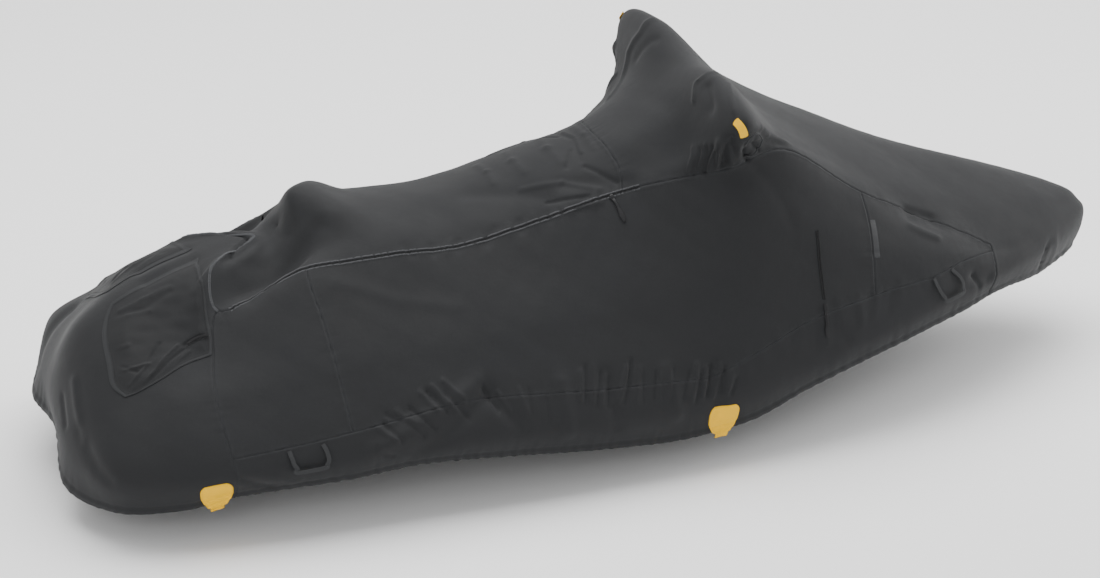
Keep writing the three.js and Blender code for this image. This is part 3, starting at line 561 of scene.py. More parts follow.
def seam_tracks():
    """Turns and heights along every seam of the cover."""
    def level(start, stop, height_at):
        turns = np.linspace(start, stop, int(abs(stop - start) * 40) + 2)
        return turns, height_at(turns)

    def upright(turn, bottom, top):
        heights = np.linspace(bottom, top, 120)
        return np.full_like(heights, turn), heights

    tracks = {"top_seam": level(-BOW_POINT, BOW_POINT, top_seam)}
    for name, side in SIDES.items():
        spots = {station: turn_of(side, float(station)) for station in (4, 5, 9, 13, BOW_POINT)}
        tracks[f"skirt_seam_{name}"] = level(spots[4], spots[BOW_POINT], skirt_seam)
        tracks[f"rear_seam_{name}"] = upright(spots[4], 0, top_seam(4))
        tracks[f"quarter_seam_{name}"] = upright(spots[5], skirt_seam(5), top_seam(5))
        tracks[f"front_seam_{name}"] = upright(spots[13], skirt_seam(13), top_seam(13))
        tracks[f"bow_seam_{name}"] = upright(spots[BOW_POINT], 0, top_seam(BOW_POINT))
        tracks[f"cross_seam_{name}"] = upright(spots[9], top_seam(9), CENTRE)
    return tracks


class Tracks:
    """Lines sewn in the cloth, asked how far off a point is and how far along its nearest place is."""

    def __init__(self, tracks):
        places, along, last = [], [], 0.0
        for turns, heights in tracks:
            line, at = evenly(form(turns, heights), TRACK_SPACING)
            places.append(line)
            along.append(at + last)
            last += at[-1] + 1.0
        self.places, self.along = np.concatenate(places), np.concatenate(along)
        self.tree = KDTree(len(self.places))
        for index, place in enumerate(self.places):
            self.tree.insert(place, index)
        self.tree.balance()

    def measure(self, points):
        found = [self.tree.find(point)[1:] for point in points]
        index, away = np.array(found).T
        return away, self.along[index.astype(int)]


def bump_at(away, place, width):
    return np.exp(-(((away - place) / width) ** 2))


def relief(points):
    """How far the folds, seams and hem lift the smooth form at points on it."""
    seams, edge = bpy.context.scene.cover_seams, bpy.context.scene.cover_hem
    rise = crease_rise(points)
    rise += seams.slack * ripples(points, SLACK_WAVES)
    away, along = SEAM_TRACKS.measure(points)
    rise -= seams.groove * bump_at(away, 0, seams.groove_width)
    rise += seams.welt * bump_at(away, seams.stitch_offset, seams.stitch_offset * 0.7)
    rise -= THREAD_DIP * seams.welt * bump_at(away, seams.stitch_offset, THREAD_DIP_WIDTH)
    pull = seams.pucker * ripples(along, PUCKER_WAVES)
    rise += pull * np.exp(-away / seams.pucker_reach) * (0.65 + 0.35 * ripple(points, 0.3, 15))
    away, along = HEM_TRACK.measure(points)
    gather = edge.gather * ripples(along, HEM_WAVES)
    rise += gather * np.exp(-((away / edge.gather_reach) ** 1.5))
    rise += edge.roll * np.sin(math.pi * np.clip(away / edge.casing, 0, 1))
    rise -= edge.roll * CASING_DIP * bump_at(away, edge.casing, CASING_DIP_WIDTH)
    return rise


def cloth(turn, height):
    """Points of the finished cloth and the normals of the smooth form there, as rows."""
    turn, height = np.broadcast_arrays(np.asarray(turn, float), np.asarray(height, float))
    point = form(turn, height)
    normal = form_normal(turn, height)
    rise = relief(point.reshape(-1, 3)).reshape(turn.shape)
    return point + normal * rise[..., None], normal


def beside(turn, height, move):
    """Turns and heights a short way off others, along moves in space."""
    nudge = 0.05
    start = form(turn, height)
    along = (form(turn + nudge, height) - start) / nudge
    up = (form(turn, height + nudge) - start) / nudge
    aa, au, uu = (along * along).sum(-1), (along * up).sum(-1), (up * up).sum(-1)
    ma, mu = (move * along).sum(-1), (move * up).sum(-1)
    determinant = aa * uu - au * au
    return turn + (ma * uu - mu * au) / determinant, height + (mu * aa - ma * au) / determinant


# ---- meshes ----
def face_normals(points, quads):
    a, b, c, d = (points[quads[:, corner]] for corner in range(4))
    return np.cross(c - a, d - b)


def faced(points, quads, corners, outward):
    """Quads and chart corners turned together, so that the quads face the outward directions given."""
    turned = (face_normals(points, quads) * outward).sum() < 0
    return (quads[:, ::-1], corners[:, ::-1]) if turned else (quads, corners)


def vertex_normals(points, quads):
    faces, total = face_normals(points, quads), np.zeros_like(points)
    for corner in quads.T:
        np.add.at(total, corner, faces)
    return total / np.maximum(np.linalg.norm(total, axis=1, keepdims=True), 1e-12)


def grid_quads(index, chart):
    """The quads of a grid of point numbers, and the chart (UV) place of each of their corners."""
    def corners(grid):
        return np.stack([grid[:-1, :-1], grid[1:, :-1], grid[1:, 1:], grid[:-1, 1:]], axis=2)

    return corners(index).reshape(-1, 4), corners(chart).reshape(-1, 4, 2)


def shell(points, quads, chart, thickness):
    """A sheet with both its faces and its rim; the points given are its outer face."""
    count = len(points)
    inner = points - vertex_normals(points, quads) * thickness
    ends = np.stack([quads, np.roll(quads, -1, axis=1)], axis=2).reshape(-1, 2)
    spots = np.stack([chart, np.roll(chart, -1, axis=1)], axis=2).reshape(-1, 2, 2)
    key = ends.min(1) * count + ends.max(1)
    _, first, uses = np.unique(key, return_index=True, return_counts=True)
    free = first[uses == 1]
    start, stop = ends[free].T
    rim = np.stack([stop, start, start + count, stop + count], axis=1)
    rim_chart = spots[free][:, [1, 0, 0, 1]]
    faces = np.concatenate([quads, quads[:, ::-1] + count, rim])
    return np.concatenate([points, inner]), faces, np.concatenate([chart, chart[:, ::-1], rim_chart])


def new_object(name, data):
    """A new object in the scene."""
    made = bpy.data.objects.new(name, data)
    bpy.context.scene.collection.objects.link(made)
    return made


def new_piece(name, points, faces, chart=None, facts=None, finish=None, crisp=48):
    """A mesh object at the origin, with its chart as UV map and its facts as attributes."""
    mesh = bpy.data.meshes.new(name)
    mesh.from_pydata(np.asarray(points).tolist(), [], [list(map(int, face)) for face in faces])
    if chart is not None:
        mesh.uv_layers.new(name="chart").data.foreach_set("uv", np.asarray(chart, np.float32).ravel())
    for fact, values in (facts or {}).items():
        layer = mesh.attributes.new(fact, "FLOAT", "POINT")
        layer.data.foreach_set("value", np.asarray(values, np.float32))
    mesh.shade_smooth()
    mesh.set_sharp_from_angle(angle=math.radians(crisp))
    if finish:
        mesh.materials.append(bpy.data.materials[finish])
    return new_object(name, mesh)


def fit(piece, slot, *nodes):
    """The piece rides with the cover and stands for its nodes, which it hides; the slot is not used."""
    missing = [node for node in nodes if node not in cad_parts]
    if missing:
        raise RuntimeError(f"the packed cover has no node named {missing}")
    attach(piece, "root")
    if nodes:
        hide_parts(*nodes)
    return piece


# ---- sheets of cloth ----
def spaced(lengths, spacing, near_stop):
    """Places along each length, closer together at its start, and at its stop if that is sewn."""
    lengths = np.atleast_1d(lengths)[:, None]
    start = EDGE_STEPS * MM * np.minimum(1, lengths / (3 * EDGE_STEPS[-1] * MM))
    stop = lengths - start[:, ::-1] if near_stop else lengths
    room = stop[:, :1] - start[:, -1:]
    share = np.linspace(0, 1, max(2, math.ceil(room.max() / spacing) + 1))[1:-1]
    return np.concatenate([start, start[:, -1:] + room * share, stop], axis=1)


def columns(start, stop, bottom, top, spacing, near_stop):
    """The turns of the columns from a seam at start to stop, evenly along the middle of the panel."""
    turns = np.linspace(start, stop, 700)
    along = arc(form(turns, (bottom(turns) + top(turns)) / 2))
    return np.interp(spaced(along[-1], spacing, near_stop)[0], along, turns)


def heights_of(turns, bottom, top, spacing, near_top):
    """The heights of the rows at each turn, and how far up the form they lie."""
    low = bottom(turns)[:, None] - LAP * (bottom is not hem)
    high = top(turns)[:, None] + LAP * near_top
    heights = low + (high - low) * np.linspace(0, 1, 90)
    along = arc(form(turns[:, None], heights))
    places = spaced(along[:, -1], spacing, near_top)
    rows = [np.interp(*row) for row in zip(places, along, heights)]
    return np.stack(rows), places


def closer(turns, low, high):
    """The turns again, with one more half way between those that lie between two stations."""
    middles = (turns[1:] + turns[:-1]) / 2
    between = (station_of(middles) > low) & (station_of(middles) < high)
    return np.sort(np.concatenate([turns, middles[between]]))


def mirrored(half, middle):
    """The turns of half a panel, and the same again on the other side of its middle."""
    return np.concatenate([half, (2 * middle - half)[::-1][1:]])


def panel_columns(name, side, spacing):
    """The turns of a panel's columns, its bottom and top, and whether its halves meet on top."""
    if name == "stern_panel":
        half = columns(-4 - LAP, 0, hem, top_seam, spacing, False)
        return mirrored(half, 0), hem, top_seam, False
    if name == "seat_panel":
        half = columns(-9 - LAP, 0, top_seam, centre, spacing, False)
        return mirrored(half, 0), top_seam, centre, True
    if name == "hood_panel":
        rear = columns(9 - LAP, BOW_POINT, top_seam, centre, spacing, True)
        front = columns(BOW_POINT, LAST_STATION, top_seam, centre, spacing, False)
        return mirrored(np.concatenate([rear, front[1:]]), LAST_STATION), top_seam, centre, True
    start, stop, bottom, top = SIDE_PANELS[name]
    turns = columns(start - LAP, stop + LAP, bottom, top, spacing, True)
    return (turns if side == STARBOARD else -turns[::-1]), bottom, top, False


def grid_of(turns, bottom, top, spacing, near_top):
    """The points of a panel of cloth, in columns, and their places on its chart."""
    heights, across = heights_of(turns, bottom, top, spacing, near_top)
    points, _ = cloth(turns[:, None], heights)
    along = arc(points[:, heights.shape[1] // 2])
    chart = np.stack([np.broadcast_to(along[:, None], heights.shape), across], axis=2)
    return points, chart


def sew_panel(name, side=0):
    """One cut panel as a thin sheet on the finished cloth, down to its seams."""
    look = bpy.context.scene.cover_cloth
    spacing = look.spacing * (HOOD_SPACING if name == "hood_panel" else 1)
    turns, bottom, top, joined = panel_columns(name, side, spacing)
    if side != PORT:
        turns = closer(turns, *CLOSER.get(name, (0, 0)))
    points, chart = grid_of(turns, bottom, top, spacing, not joined)
    across, rows = points.shape[:2]
    index = np.arange(across * rows).reshape(across, rows)
    if joined:
        index[:, -1] = np.minimum(index[:, -1], index[::-1, -1])
    quads, corners = grid_quads(index, chart)
    points = points.reshape(-1, 3)
    if name == "hood_panel":
        low = np.abs(turns - LAST_STATION) < LAST_STATION - BOW_POINT + 1e-6
        under, under_chart = grid_of(turns[low], hem, top_seam, spacing, False)
        below = np.arange(under.shape[0] * under.shape[1]).reshape(under.shape[:2]) + len(points)
        below[:, -1] = index[low, 0]
        more, more_corners = grid_quads(below, under_chart - (0, 1))
        quads, corners = np.concatenate([quads, more]), np.concatenate([corners, more_corners])
        points = np.concatenate([points, under.reshape(-1, 3)])
    used, quads = np.unique(quads, return_inverse=True)
    quads, points = quads.reshape(-1, 4), points[used]
    points, faces, corners = shell(points, quads, corners, look.thickness)
    away = SEAM_TRACKS.measure(points)[0]
    label = f"{name}_{'starboard' if side == STARBOARD else 'port'}" if side else name
    piece = new_piece(label + "_cloth", points, faces, corners, {"seam_distance": away}, "Cover cloth")
    fit(piece, "cover_cloth", label)
    return piece


# ---- strips, cords and tabs sewn on the cloth ----
def smooth(table, steps):
    """Rows on a curve through a table's rows."""
    rows = np.array(table, float)
    rows = np.concatenate([[2 * rows[0] - rows[1]], rows, [2 * rows[-1] - rows[-2]]])
    share = np.linspace(0, len(table) - 1, steps + 1)
    at = np.minimum(share.astype(int), len(table) - 2)
    return through(*(rows[at + step] for step in range(4)), share - at)


def smooth_rows(table, steps):
    """Rows of station, height, width and lift, with the widths on a curve of their own."""
    rows = np.array(table, float)
    place, width = smooth(rows[:, [0, 1, 3]], steps), smooth(rows[:, [2, 2, 2]], steps)
    return np.stack([place[:, 0], place[:, 1], width[:, 0], place[:, 2]], axis=1)


def even_rows(stations, heights, width, lift):
    """The same rows for a strip of one width and lift."""
    return np.stack(np.broadcast_arrays(stations, heights, float(width), lift), axis=1)


def strip_frame(side, path, sink=0.0):
    """The middle of a strip laid on the cloth: points, the way across it, the way up, and widths."""
    turn = turn_of(side, path[:, 0])
    point, normal = cloth(turn, path[:, 1])
    point = point + normal * ((path[:, 3] - sink) * MM)[:, None]
    along = np.gradient(point, axis=0)
    across = unit(np.cross(normal, along))
    return point, across, unit(np.cross(along, across)), path[:, 2] * MM


def ribbon(name, frame_of_strip, section, finish, rounded=0.0, facts=None):
    """A closed strip with that section: rows of share of half the width, and height in mm."""
    point, across, up, width = frame_of_strip
    along = arc(point)
    if rounded:
        end = np.minimum(along, along[-1] - along)
        share = 1 - (1 - np.clip(end / rounded, NARROWEST, 1)) ** 2
        width = width * np.sqrt(np.clip(share, NARROWEST, 1))
    section = np.array(section, float)
    points = (
        point[:, None]
        + across[:, None] * (section[:, 0, None] * width[:, None, None] / 2)
        + up[:, None] * (section[:, 1, None] * MM)
    )
    rows, around = points.shape[:2]
    index = np.arange(rows * around).reshape(rows, around)
    index = np.concatenate([index, index[:, :1]], axis=1)
    ring = arc(np.concatenate([points, points[:, :1]], axis=1))
    chart = np.stack([np.broadcast_to(along[:, None], ring.shape), ring], axis=2)
    quads, corners = grid_quads(index, chart)
    points = points.reshape(-1, 3)
    middle = np.repeat(point[:-1] + up[:-1] * section[:, 1].mean() * MM, around, axis=0)
    quads, corners = faced(points, quads, corners, points[quads].mean(1) - middle)
    caps = [list(index[0, :around]), list(index[-1, :around])[::-1]]
    first, second, third = points[caps[0][:3]]
    if np.cross(second - first, third - first) @ (point[1] - point[0]) > 0:
        caps = [cap[::-1] for cap in caps]
    chart_rows = [corners.reshape(-1, 2)] + [np.zeros((around, 2))] * 2
    values = {key: np.tile(row, rows) for key, row in (facts or {}).items()}
    return new_piece(name, points, quads.tolist() + caps, np.concatenate(chart_rows), values, finish)


def sew_strip(node_name, ending, side, rows, section, finish, slot, sink=0.0, rounded=0.0, facts=None):
    """A ribbon on the cloth that stands for a node."""
    frame_of_strip = strip_frame(side, rows, sink)
    piece = ribbon(f"{node_name}_{ending}", frame_of_strip, section, finish, rounded, facts)
    return fit(piece, slot, node_name)


def sew_zip(kind, zip_look, stations, heights, section, pull, pull_section, sink=0.0, **tape):
    """A zip on each side: its tape, two rows of teeth and its pull."""
    rows = even_rows(stations, heights, zip_look["width"], LIFT)
    pitch = bpy.context.scene.cover_trim.tooth
    for name, side in SIDES.items():
        sew_strip(f"{kind}_{name}", "tape", side, rows, section, "Zip tape", "zip_tape", **tape)
        turns = turn_of(side, stations)
        apart, lift = zip_look["apart"], zip_look["lift"]
        lines = [stitch_line(turns, heights, offset, lift) for offset in (-apart, apart)]
        teeth = set_along(f"{kind}_{name}_teeth", lines, pitch, zip_look["tooth"], zip_look["seed"],
                          "Zip moulding")
        fit(teeth, "zip_tape")
        sew_strip(f"{kind}_pull_{name}", "tab", side, smooth_rows(pull, 60), pull_section,
                  "Zip moulding", "zip_pull", sink=sink, rounded=0.005)


def oval(squareness, height, sides=16):
    """A section from a circle (2) to a rounded bar (4 and more), that high."""
    turn = np.linspace(0, 2 * math.pi, sides, endpoint=False)
    x, z = np.cos(turn), np.sin(turn)
    x, z = (np.sign(v) * abs(v) ** (2 / squareness) for v in (x, z))
    return np.stack([x, (z + 1) * height / 2], axis=1)


def hem_tab(name, side, station, top):
    """A moulded tab: a rounded plate with a raised rim, a crease and a neck at its foot."""
    tab, length = TAB, TAB["length"] * MM
    turn = turn_of(side, float(station))
    drop = np.linalg.norm(form(turn, top) - form(turn, 0.0))
    close = EDGE_STEPS / 300
    down = np.unique(np.concatenate([np.linspace(0, 1, 44), 1 - close, close]))
    half = np.interp(down, *np.transpose(smooth(TAB_OUTLINE, 119))) / 2 * MM
    height = top * (1 - down * TAB["length"] * MM / drop)
    share = np.sin(np.linspace(-1, 1, 33) * math.pi / 2)
    middle, normal = form(turn, height), form_normal(turn, height)
    across = unit(np.cross(normal, np.gradient(middle, axis=0)))
    down, half, height = down[:, None], half[:, None], height[:, None]
    point, normal = cloth(*beside(turn, height, across[:, None] * (half * share)[..., None]))
    edge = np.minimum(half * (1 - abs(share)), down * length)
    edge = np.minimum(edge, (1 - down) * length)
    rise = tab["thickness"] * (1 - np.exp(-edge / tab["edge"]))
    rise += bpy.context.scene.cover_trim.tab_rim / MM * bump_at(edge, tab["rim"], tab["rim_width"])
    rise -= tab["crease_depth"] * bump_at(down, *tab["crease"]) * (abs(share) < tab["crease_share"])
    outer = (point + normal * ((rise + tab["lift"]) * MM)[..., None]).reshape(-1, 3)
    inner = (point + normal * tab["lift"] * MM).reshape(-1, 3)
    index = np.arange(rise.size).reshape(rise.shape)
    chart = np.stack(np.broadcast_arrays(down * length, half * share), axis=2)
    quads, corners = grid_quads(index, chart)
    quads, corners = faced(outer, quads, corners, normal[:-1, :-1].reshape(-1, 3))
    points, faces, corners = shell(outer, quads, corners, MM)
    points[rise.size:] = inner
    return new_piece(name, points, faces, corners, None, "Yellow rubber", crisp=60)


def gathered_grid(side, steps):
    """Turns and heights over a gathered panel: rows from its foot up, columns from its rear edge."""
    def edge(first):
        return smooth_rows([(row[first], row[first + 1], 1, 0) for row in GUSSET_EDGES], steps)[:, :2]

    rear, front = edge(0), edge(2)
    place = rear[:, None] + (front - rear)[:, None] * np.linspace(0, 1, steps + 1)[:, None]
    return turn_of(side, place[..., 0]), place[..., 1]


def gathered_stitches(side):
    """The two rows of stitches inside each edge of a gathered panel."""
    look = bpy.context.scene.cover_gathers
    turns, heights = gathered_grid(side, 100)
    lines = []
    for inset in BORDER_ROWS:
        for edge in (inset, -1 - inset):
            for at in ((edge, slice(inset, -inset)), (slice(inset, -inset), edge)):
                lines.append(stitch_line(turns[at], heights[at], 0.0, look.lift + look.ridge))
    return lines


def gathered_panel(name, side):
    """The gathered panel: a puffed sheet with diagonal wrinkles inside a raised double border."""
    look = bpy.context.scene.cover_gathers
    share = np.linspace(0, 1, look.steps + 1)
    turns, heights = gathered_grid(side, look.steps)
    point, normal = cloth(turns, heights)
    v, u = np.meshgrid(share, share, indexing="ij")
    across = np.linalg.norm(np.diff(point, axis=1), axis=2).sum(1)[:, None]
    up = np.linalg.norm(np.diff(point, axis=0), axis=2).sum(0)[None, :]
    border = np.minimum(np.minimum(u, 1 - u) * across, np.minimum(v, 1 - v) * up)
    inside = np.clip((border - look.border) / PUFF_SLOPE, 0, 1)
    inside = inside * inside * (3 - 2 * inside)
    rise = np.full(border.shape, look.lift) + look.puff * inside
    flat = form(turns, heights).reshape(-1, 3)
    wrinkles = np.zeros(len(flat))
    for width, amount, *stops in WRINKLES:
        away = off_line(flat, surface_path(side, stops))
        wrinkles += amount * MM * np.exp(-((away / (width * MM)) ** 2))
    rise += inside * wrinkles.reshape(border.shape)
    rise += inside * PUFF_RIPPLES * ripple(flat, 0.06, 31).reshape(border.shape)
    for place in BORDER_CORDS:
        rise += look.ridge * bump_at(border, look.border * place, look.border * CORD_SHARE)
    points = (point + normal * rise[..., None]).reshape(-1, 3)
    index = np.arange(points.shape[0]).reshape(border.shape)
    quads, corners = grid_quads(index, np.stack([v * up, u * across], axis=2))
    quads, corners = faced(points, quads, corners, normal[:-1, :-1].reshape(-1, 3))
    points, faces, corners = shell(points, quads, corners, look.thickness)
    # Painted highlight: how much paler the border is coloured, fullest at its edge, standing for the
    # light on its raised cords.
    trim = np.tile(np.clip(1 - border.ravel() / look.border, 0, 1), 2)
    return new_piece(name, points, faces, corners, {"trim": trim}, "Gathered cloth")


# ---- finishes ----
def feed(tree, made, inputs):
    """Give each named input of a node its value, or the link from another node's output."""
    for name, value in inputs.items():
        if isinstance(value, bpy.types.NodeSocket):
            tree.links.new(value, made.inputs[name])
        else:
            made.inputs[name].default_value = value


def node(tree, kind, inputs=None, **settings):
    """A new node with those inputs and settings."""
    made = tree.nodes.new(kind)
    for name, value in settings.items():
        setattr(made, name, value)
    feed(tree, made, inputs or {})
    return made


def mix(tree, share, low, high, blend="MIX"):
    """A colour between two, or one blended with the other."""
    made = node(tree, "ShaderNodeMix", data_type="RGBA", blend_type=blend)
    for name, value in (("Factor", share), ("A", low), ("B", high)):
        socket = next(s for s in made.inputs if s.name == name and s.enabled)
        if isinstance(value, bpy.types.NodeSocket):
            tree.links.new(value, socket)
        else:
            socket.default_value = value
    return next(s for s in made.outputs if s.enabled)


def scaled(tree, value, low, high, to_low, to_high):
    """A value moved from one span to another."""
    made = node(tree, "ShaderNodeMapRange", {"Value": value, "From Min": low, "From Max": high,
                                             "To Min": to_low, "To Max": to_high})
    return made.outputs["Result"]


def toned(tree, colour, value, *span):
    """A colour made darker and paler by a value over that span."""
    grey = scaled(tree, value, *span)
    grey = node(tree, "ShaderNodeCombineColor", {"Red": grey, "Green": grey, "Blue": grey})
    return mix(tree, 1.0, colour, grey.outputs["Color"], "MULTIPLY")


def noise(tree, place, scale, detail):
    made = node(tree, "ShaderNodeTexNoise", {"Vector": place, "Scale": scale, "Detail": detail})
    return made.outputs["Fac"]


def bump(tree, height, strength, distance, **more):
    return node(tree, "ShaderNodeBump", {"Height": height, "Strength": strength,
                                         "Distance": distance, **more}).outputs["Normal"]


def rgba(colour):
    return (*colour, 1.0)


def shade(colour, share):
    return tuple(share * value for value in colour)


def new_material(name):
    """A new material's node tree and its shader."""
    material = bpy.data.materials.new(name)
    material.use_nodes = True
    return material.node_tree, material.node_tree.nodes["Principled BSDF"]


PATCHES = (0.3, 0.7)  # the span of a noise that runs from one end of a finish to the other
WAVE_LENGTH = 2 * math.pi / 20  # of a wave texture at scale 1


def cloth_finish(name, dark, light, pitch, rough=(0.62, 0.8), sheen=0.07, crumple=0.3,
                 trim=None, painted_seam_highlight=None, weave=0.5):
    """Woven cloth: over and under threads, uneven colour, crumple, and painted highlights: a paler
    colour along the seams and on raised edges marked as trim.
    """
    tree, shader = new_material(name)
    chart = node(tree, "ShaderNodeUVMap", uv_map="chart").outputs["UV"]
    place = node(tree, "ShaderNodeTexCoord").outputs["Object"]
    threads = [
        node(tree, "ShaderNodeTexWave", {"Vector": chart, "Scale": WAVE_LENGTH / pitch},
             bands_direction=way).outputs["Fac"]
        for way in "XY"
    ]
    threads = node(tree, "ShaderNodeMath", dict(enumerate(threads)), operation="MULTIPLY").outputs[0]
    patches, fibres = noise(tree, place, 4.5, 4.0), noise(tree, place, 420.0, 2.0)
    colour = mix(tree, scaled(tree, patches, *PATCHES, 0, 1), rgba(dark), rgba(light))
    colour = toned(tree, colour, fibres, *PATCHES, 0.88, 1.12)
    colour = toned(tree, colour, threads, 0, 1, 0.82, 1.1)
    # Each fact paints a paler colour over the cloth as a highlight: near the seams, and where the trim
    # attribute marks raised edges.
    for fact, facts in (("seam_distance", painted_seam_highlight), ("trim", trim)):
        if facts:
            low, high, paler = facts
            value = node(tree, "ShaderNodeAttribute", attribute_name=fact).outputs["Fac"]
            colour = mix(tree, scaled(tree, value, low, high, 0, 1), colour, rgba(paler))
    creased = node(tree, "ShaderNodeTexNoise", {"Vector": place, "Scale": 24.0, "Detail": 5.0,
                                                "Roughness": 0.55})
    broad = bump(tree, creased.outputs["Fac"], crumple, 0.004)
    feed(tree, shader, {
        "Base Color": colour,
        "Roughness": scaled(tree, patches, *PATCHES, *rough),
        "Normal": bump(tree, threads, weave, pitch * 0.15, Normal=broad),
        "Sheen Weight": sheen,
        "Sheen Roughness": 0.45,
        "Specular IOR Level": 0.22,
    })


def moulded_finish(name, dark, light, rough, grain):
    """Moulded rubber or plastic: slight mottling and a fine grained skin."""
    tree, shader = new_material(name)
    place = node(tree, "ShaderNodeTexCoord").outputs["Object"]
    cloud, skin = noise(tree, place, 38.0, 4.0), noise(tree, place, 900.0, 2.0)
    feed(tree, shader, {
        "Base Color": mix(tree, scaled(tree, cloud, *PATCHES, 0, 1), rgba(dark), rgba(light)),
        "Roughness": scaled(tree, cloud, *PATCHES, *rough),
        "Normal": bump(tree, skin, grain, 0.0003),
        "Specular IOR Level": 0.25,
    })


def mix_finishes():
    """Every finish of the cover, from the colours in its groups."""
    look = bpy.context.scene.cover_cloth
    trim = bpy.context.scene.cover_trim
    # Painted highlight: the cloth is coloured paler within 12 mm of each seam, standing for the light
    # on the seam's welts.
    cloth_finish("Cover cloth", look.dark, look.light, look.weave,
                 painted_seam_highlight=(0.012, 0.0, shade(look.light, 1.12)))
    # Painted highlight: the gathered panel's border is coloured paler, standing for the light on its
    # raised cords.
    cloth_finish("Gathered cloth", shade(look.dark, 0.8), shade(look.light, 0.85), look.weave,
                 trim=(0.05, 0.5, trim.gather_edge_painted_highlight))
    cloth_finish("Piping cloth", shade(trim.piping, 0.8), trim.piping, 0.0011, rough=(0.5, 0.65),
                 crumple=0.15)
    # Painted highlight: the zip tape's raised edges are coloured paler.
    cloth_finish("Zip tape", (0.006, 0.0062, 0.0068), (0.011, 0.0115, 0.0125), 0.0009,
                 trim=(0.0, 1.0, trim.zip_edge_painted_highlight), crumple=0.1)
    cloth_finish("Webbing", shade(trim.webbing, 0.75), trim.webbing, 0.0021, rough=(0.6, 0.75),
                 crumple=0.1, weave=0.9)
    cloth_finish("Black strap", (0.004, 0.004, 0.0045), (0.009, 0.009, 0.01), 0.0018, crumple=0.1,
                 weave=0.9)
    cloth_finish("Reflective tape", (0.034, 0.035, 0.037), (0.044, 0.045, 0.048), 0.0007,
                 rough=(0.35, 0.5), sheen=0.0, crumple=0.1)
    cloth_finish("Thread", (0.008, 0.008, 0.009), (0.014, 0.0145, 0.015), 0.0006, crumple=0.1)
    moulded_finish("Yellow rubber", shade(trim.yellow, 0.92), trim.yellow, (0.38, 0.55), 0.3)
    moulded_finish("Zip moulding", (0.008, 0.008, 0.009), (0.014, 0.014, 0.015), (0.3, 0.45), 0.2)


# ---- shapes repeated along a line ----
def along_line_tree():
    """Small rounded pieces set along lines: stitches and zip teeth."""
    tree = bpy.data.node_groups.new("Sewn along a line", "GeometryNodeTree")
    faces = tree.interface
    faces.new_socket("Lines", in_out="INPUT", socket_type="NodeSocketGeometry")
    for label, value in (("Pitch", 0.005), ("Length", 0.004), ("Width", 0.001), ("Height", 0.001)):
        socket = faces.new_socket(label, in_out="INPUT", socket_type="NodeSocketFloat")
        socket.default_value, socket.subtype = value, "DISTANCE"
    faces.new_socket("Seed", in_out="INPUT", socket_type="NodeSocketInt")
    faces.new_socket("Finish", in_out="INPUT", socket_type="NodeSocketMaterial")
    faces.new_socket("Pieces", in_out="OUTPUT", socket_type="NodeSocketGeometry")
    given = node(tree, "NodeGroupInput").outputs

    def step(kind, inputs=None, **settings):
        return node(tree, kind, inputs, **settings).outputs[0]

    curve = step("GeometryNodeMeshToCurve", {"Mesh": given["Lines"]})
    places = step("GeometryNodeResampleCurve", {"Curve": curve, "Length": given["Pitch"]},
                  mode="LENGTH")
    heading = step("GeometryNodeInputTangent")
    outward = step("GeometryNodeInputNamedAttribute", {"Name": "outward"}, data_type="FLOAT_VECTOR")
    turn = step("FunctionNodeAlignRotationToVector", {"Vector": heading}, axis="X")
    turn = step("FunctionNodeAlignRotationToVector", {"Rotation": turn, "Vector": outward},
                axis="Z", pivot_axis="X")
    size = step("ShaderNodeCombineXYZ",
                {"X": given["Length"], "Y": given["Width"], "Z": given["Height"]})
    bead = step("GeometryNodeMeshUVSphere", {"Segments": 4, "Rings": 3, "Radius": 0.5})
    bead = step("GeometryNodeTransform", {"Geometry": bead, "Rotation": (0, math.pi / 2, 0)})
    bead = step("GeometryNodeTransform", {"Geometry": bead, "Scale": size})
    uneven = step("FunctionNodeRandomValue",
                  {"Min": (0.9,) * 3, "Max": (1.1,) * 3, "Seed": given["Seed"]},
                  data_type="FLOAT_VECTOR")
    placed = step("GeometryNodeInstanceOnPoints",
                  {"Points": places, "Instance": bead, "Rotation": turn, "Scale": uneven})
    solid = step("GeometryNodeRealizeInstances", {"Geometry": placed})
    smoothed = step("GeometryNodeSetShadeSmooth", {"Geometry": solid})
    painted = step("GeometryNodeSetMaterial", {"Geometry": smoothed, "Material": given["Finish"]})
    node(tree, "NodeGroupOutput", {"Pieces": painted})
    return tree


def set_along(name, lines, pitch, size, seed, finish):
    """A mesh of beads of that size set along lines of (points, outward directions)."""
    tree = bpy.data.node_groups.get("Sewn along a line") or along_line_tree()
    points = np.concatenate([line for line, _ in lines])
    edges, start = [], 0
    for line, _ in lines:
        edges += [(start + step, start + step + 1) for step in range(len(line) - 1)]
        start += len(line)
    mesh = bpy.data.meshes.new(name + "_lines")
    mesh.from_pydata(points.tolist(), edges, [])
    layer = mesh.attributes.new("outward", "FLOAT_VECTOR", "POINT")
    layer.data.foreach_set("vector", np.concatenate([up for _, up in lines]).astype(np.float32).ravel())
    base = new_object(name + "_lines", mesh)
    modifier = base.modifiers.new("Along", "NODES")
    modifier.node_group = tree
    values = {"Pitch": pitch, "Length": size[0], "Width": size[1], "Height": size[2], "Seed": seed,
              "Finish": bpy.data.materials[finish]}
    for item in tree.interface.items_tree:
        if item.in_out == "INPUT" and item.name in values:
            modifier[item.identifier] = values[item.name]
    evaluated = base.evaluated_get(bpy.context.evaluated_depsgraph_get())
    made = bpy.data.meshes.new_from_object(evaluated)
    made.name = name
    bpy.data.objects.remove(base)
    if not len(made.polygons):
        raise RuntimeError(f"{name} came out empty")
    return new_object(name, made)


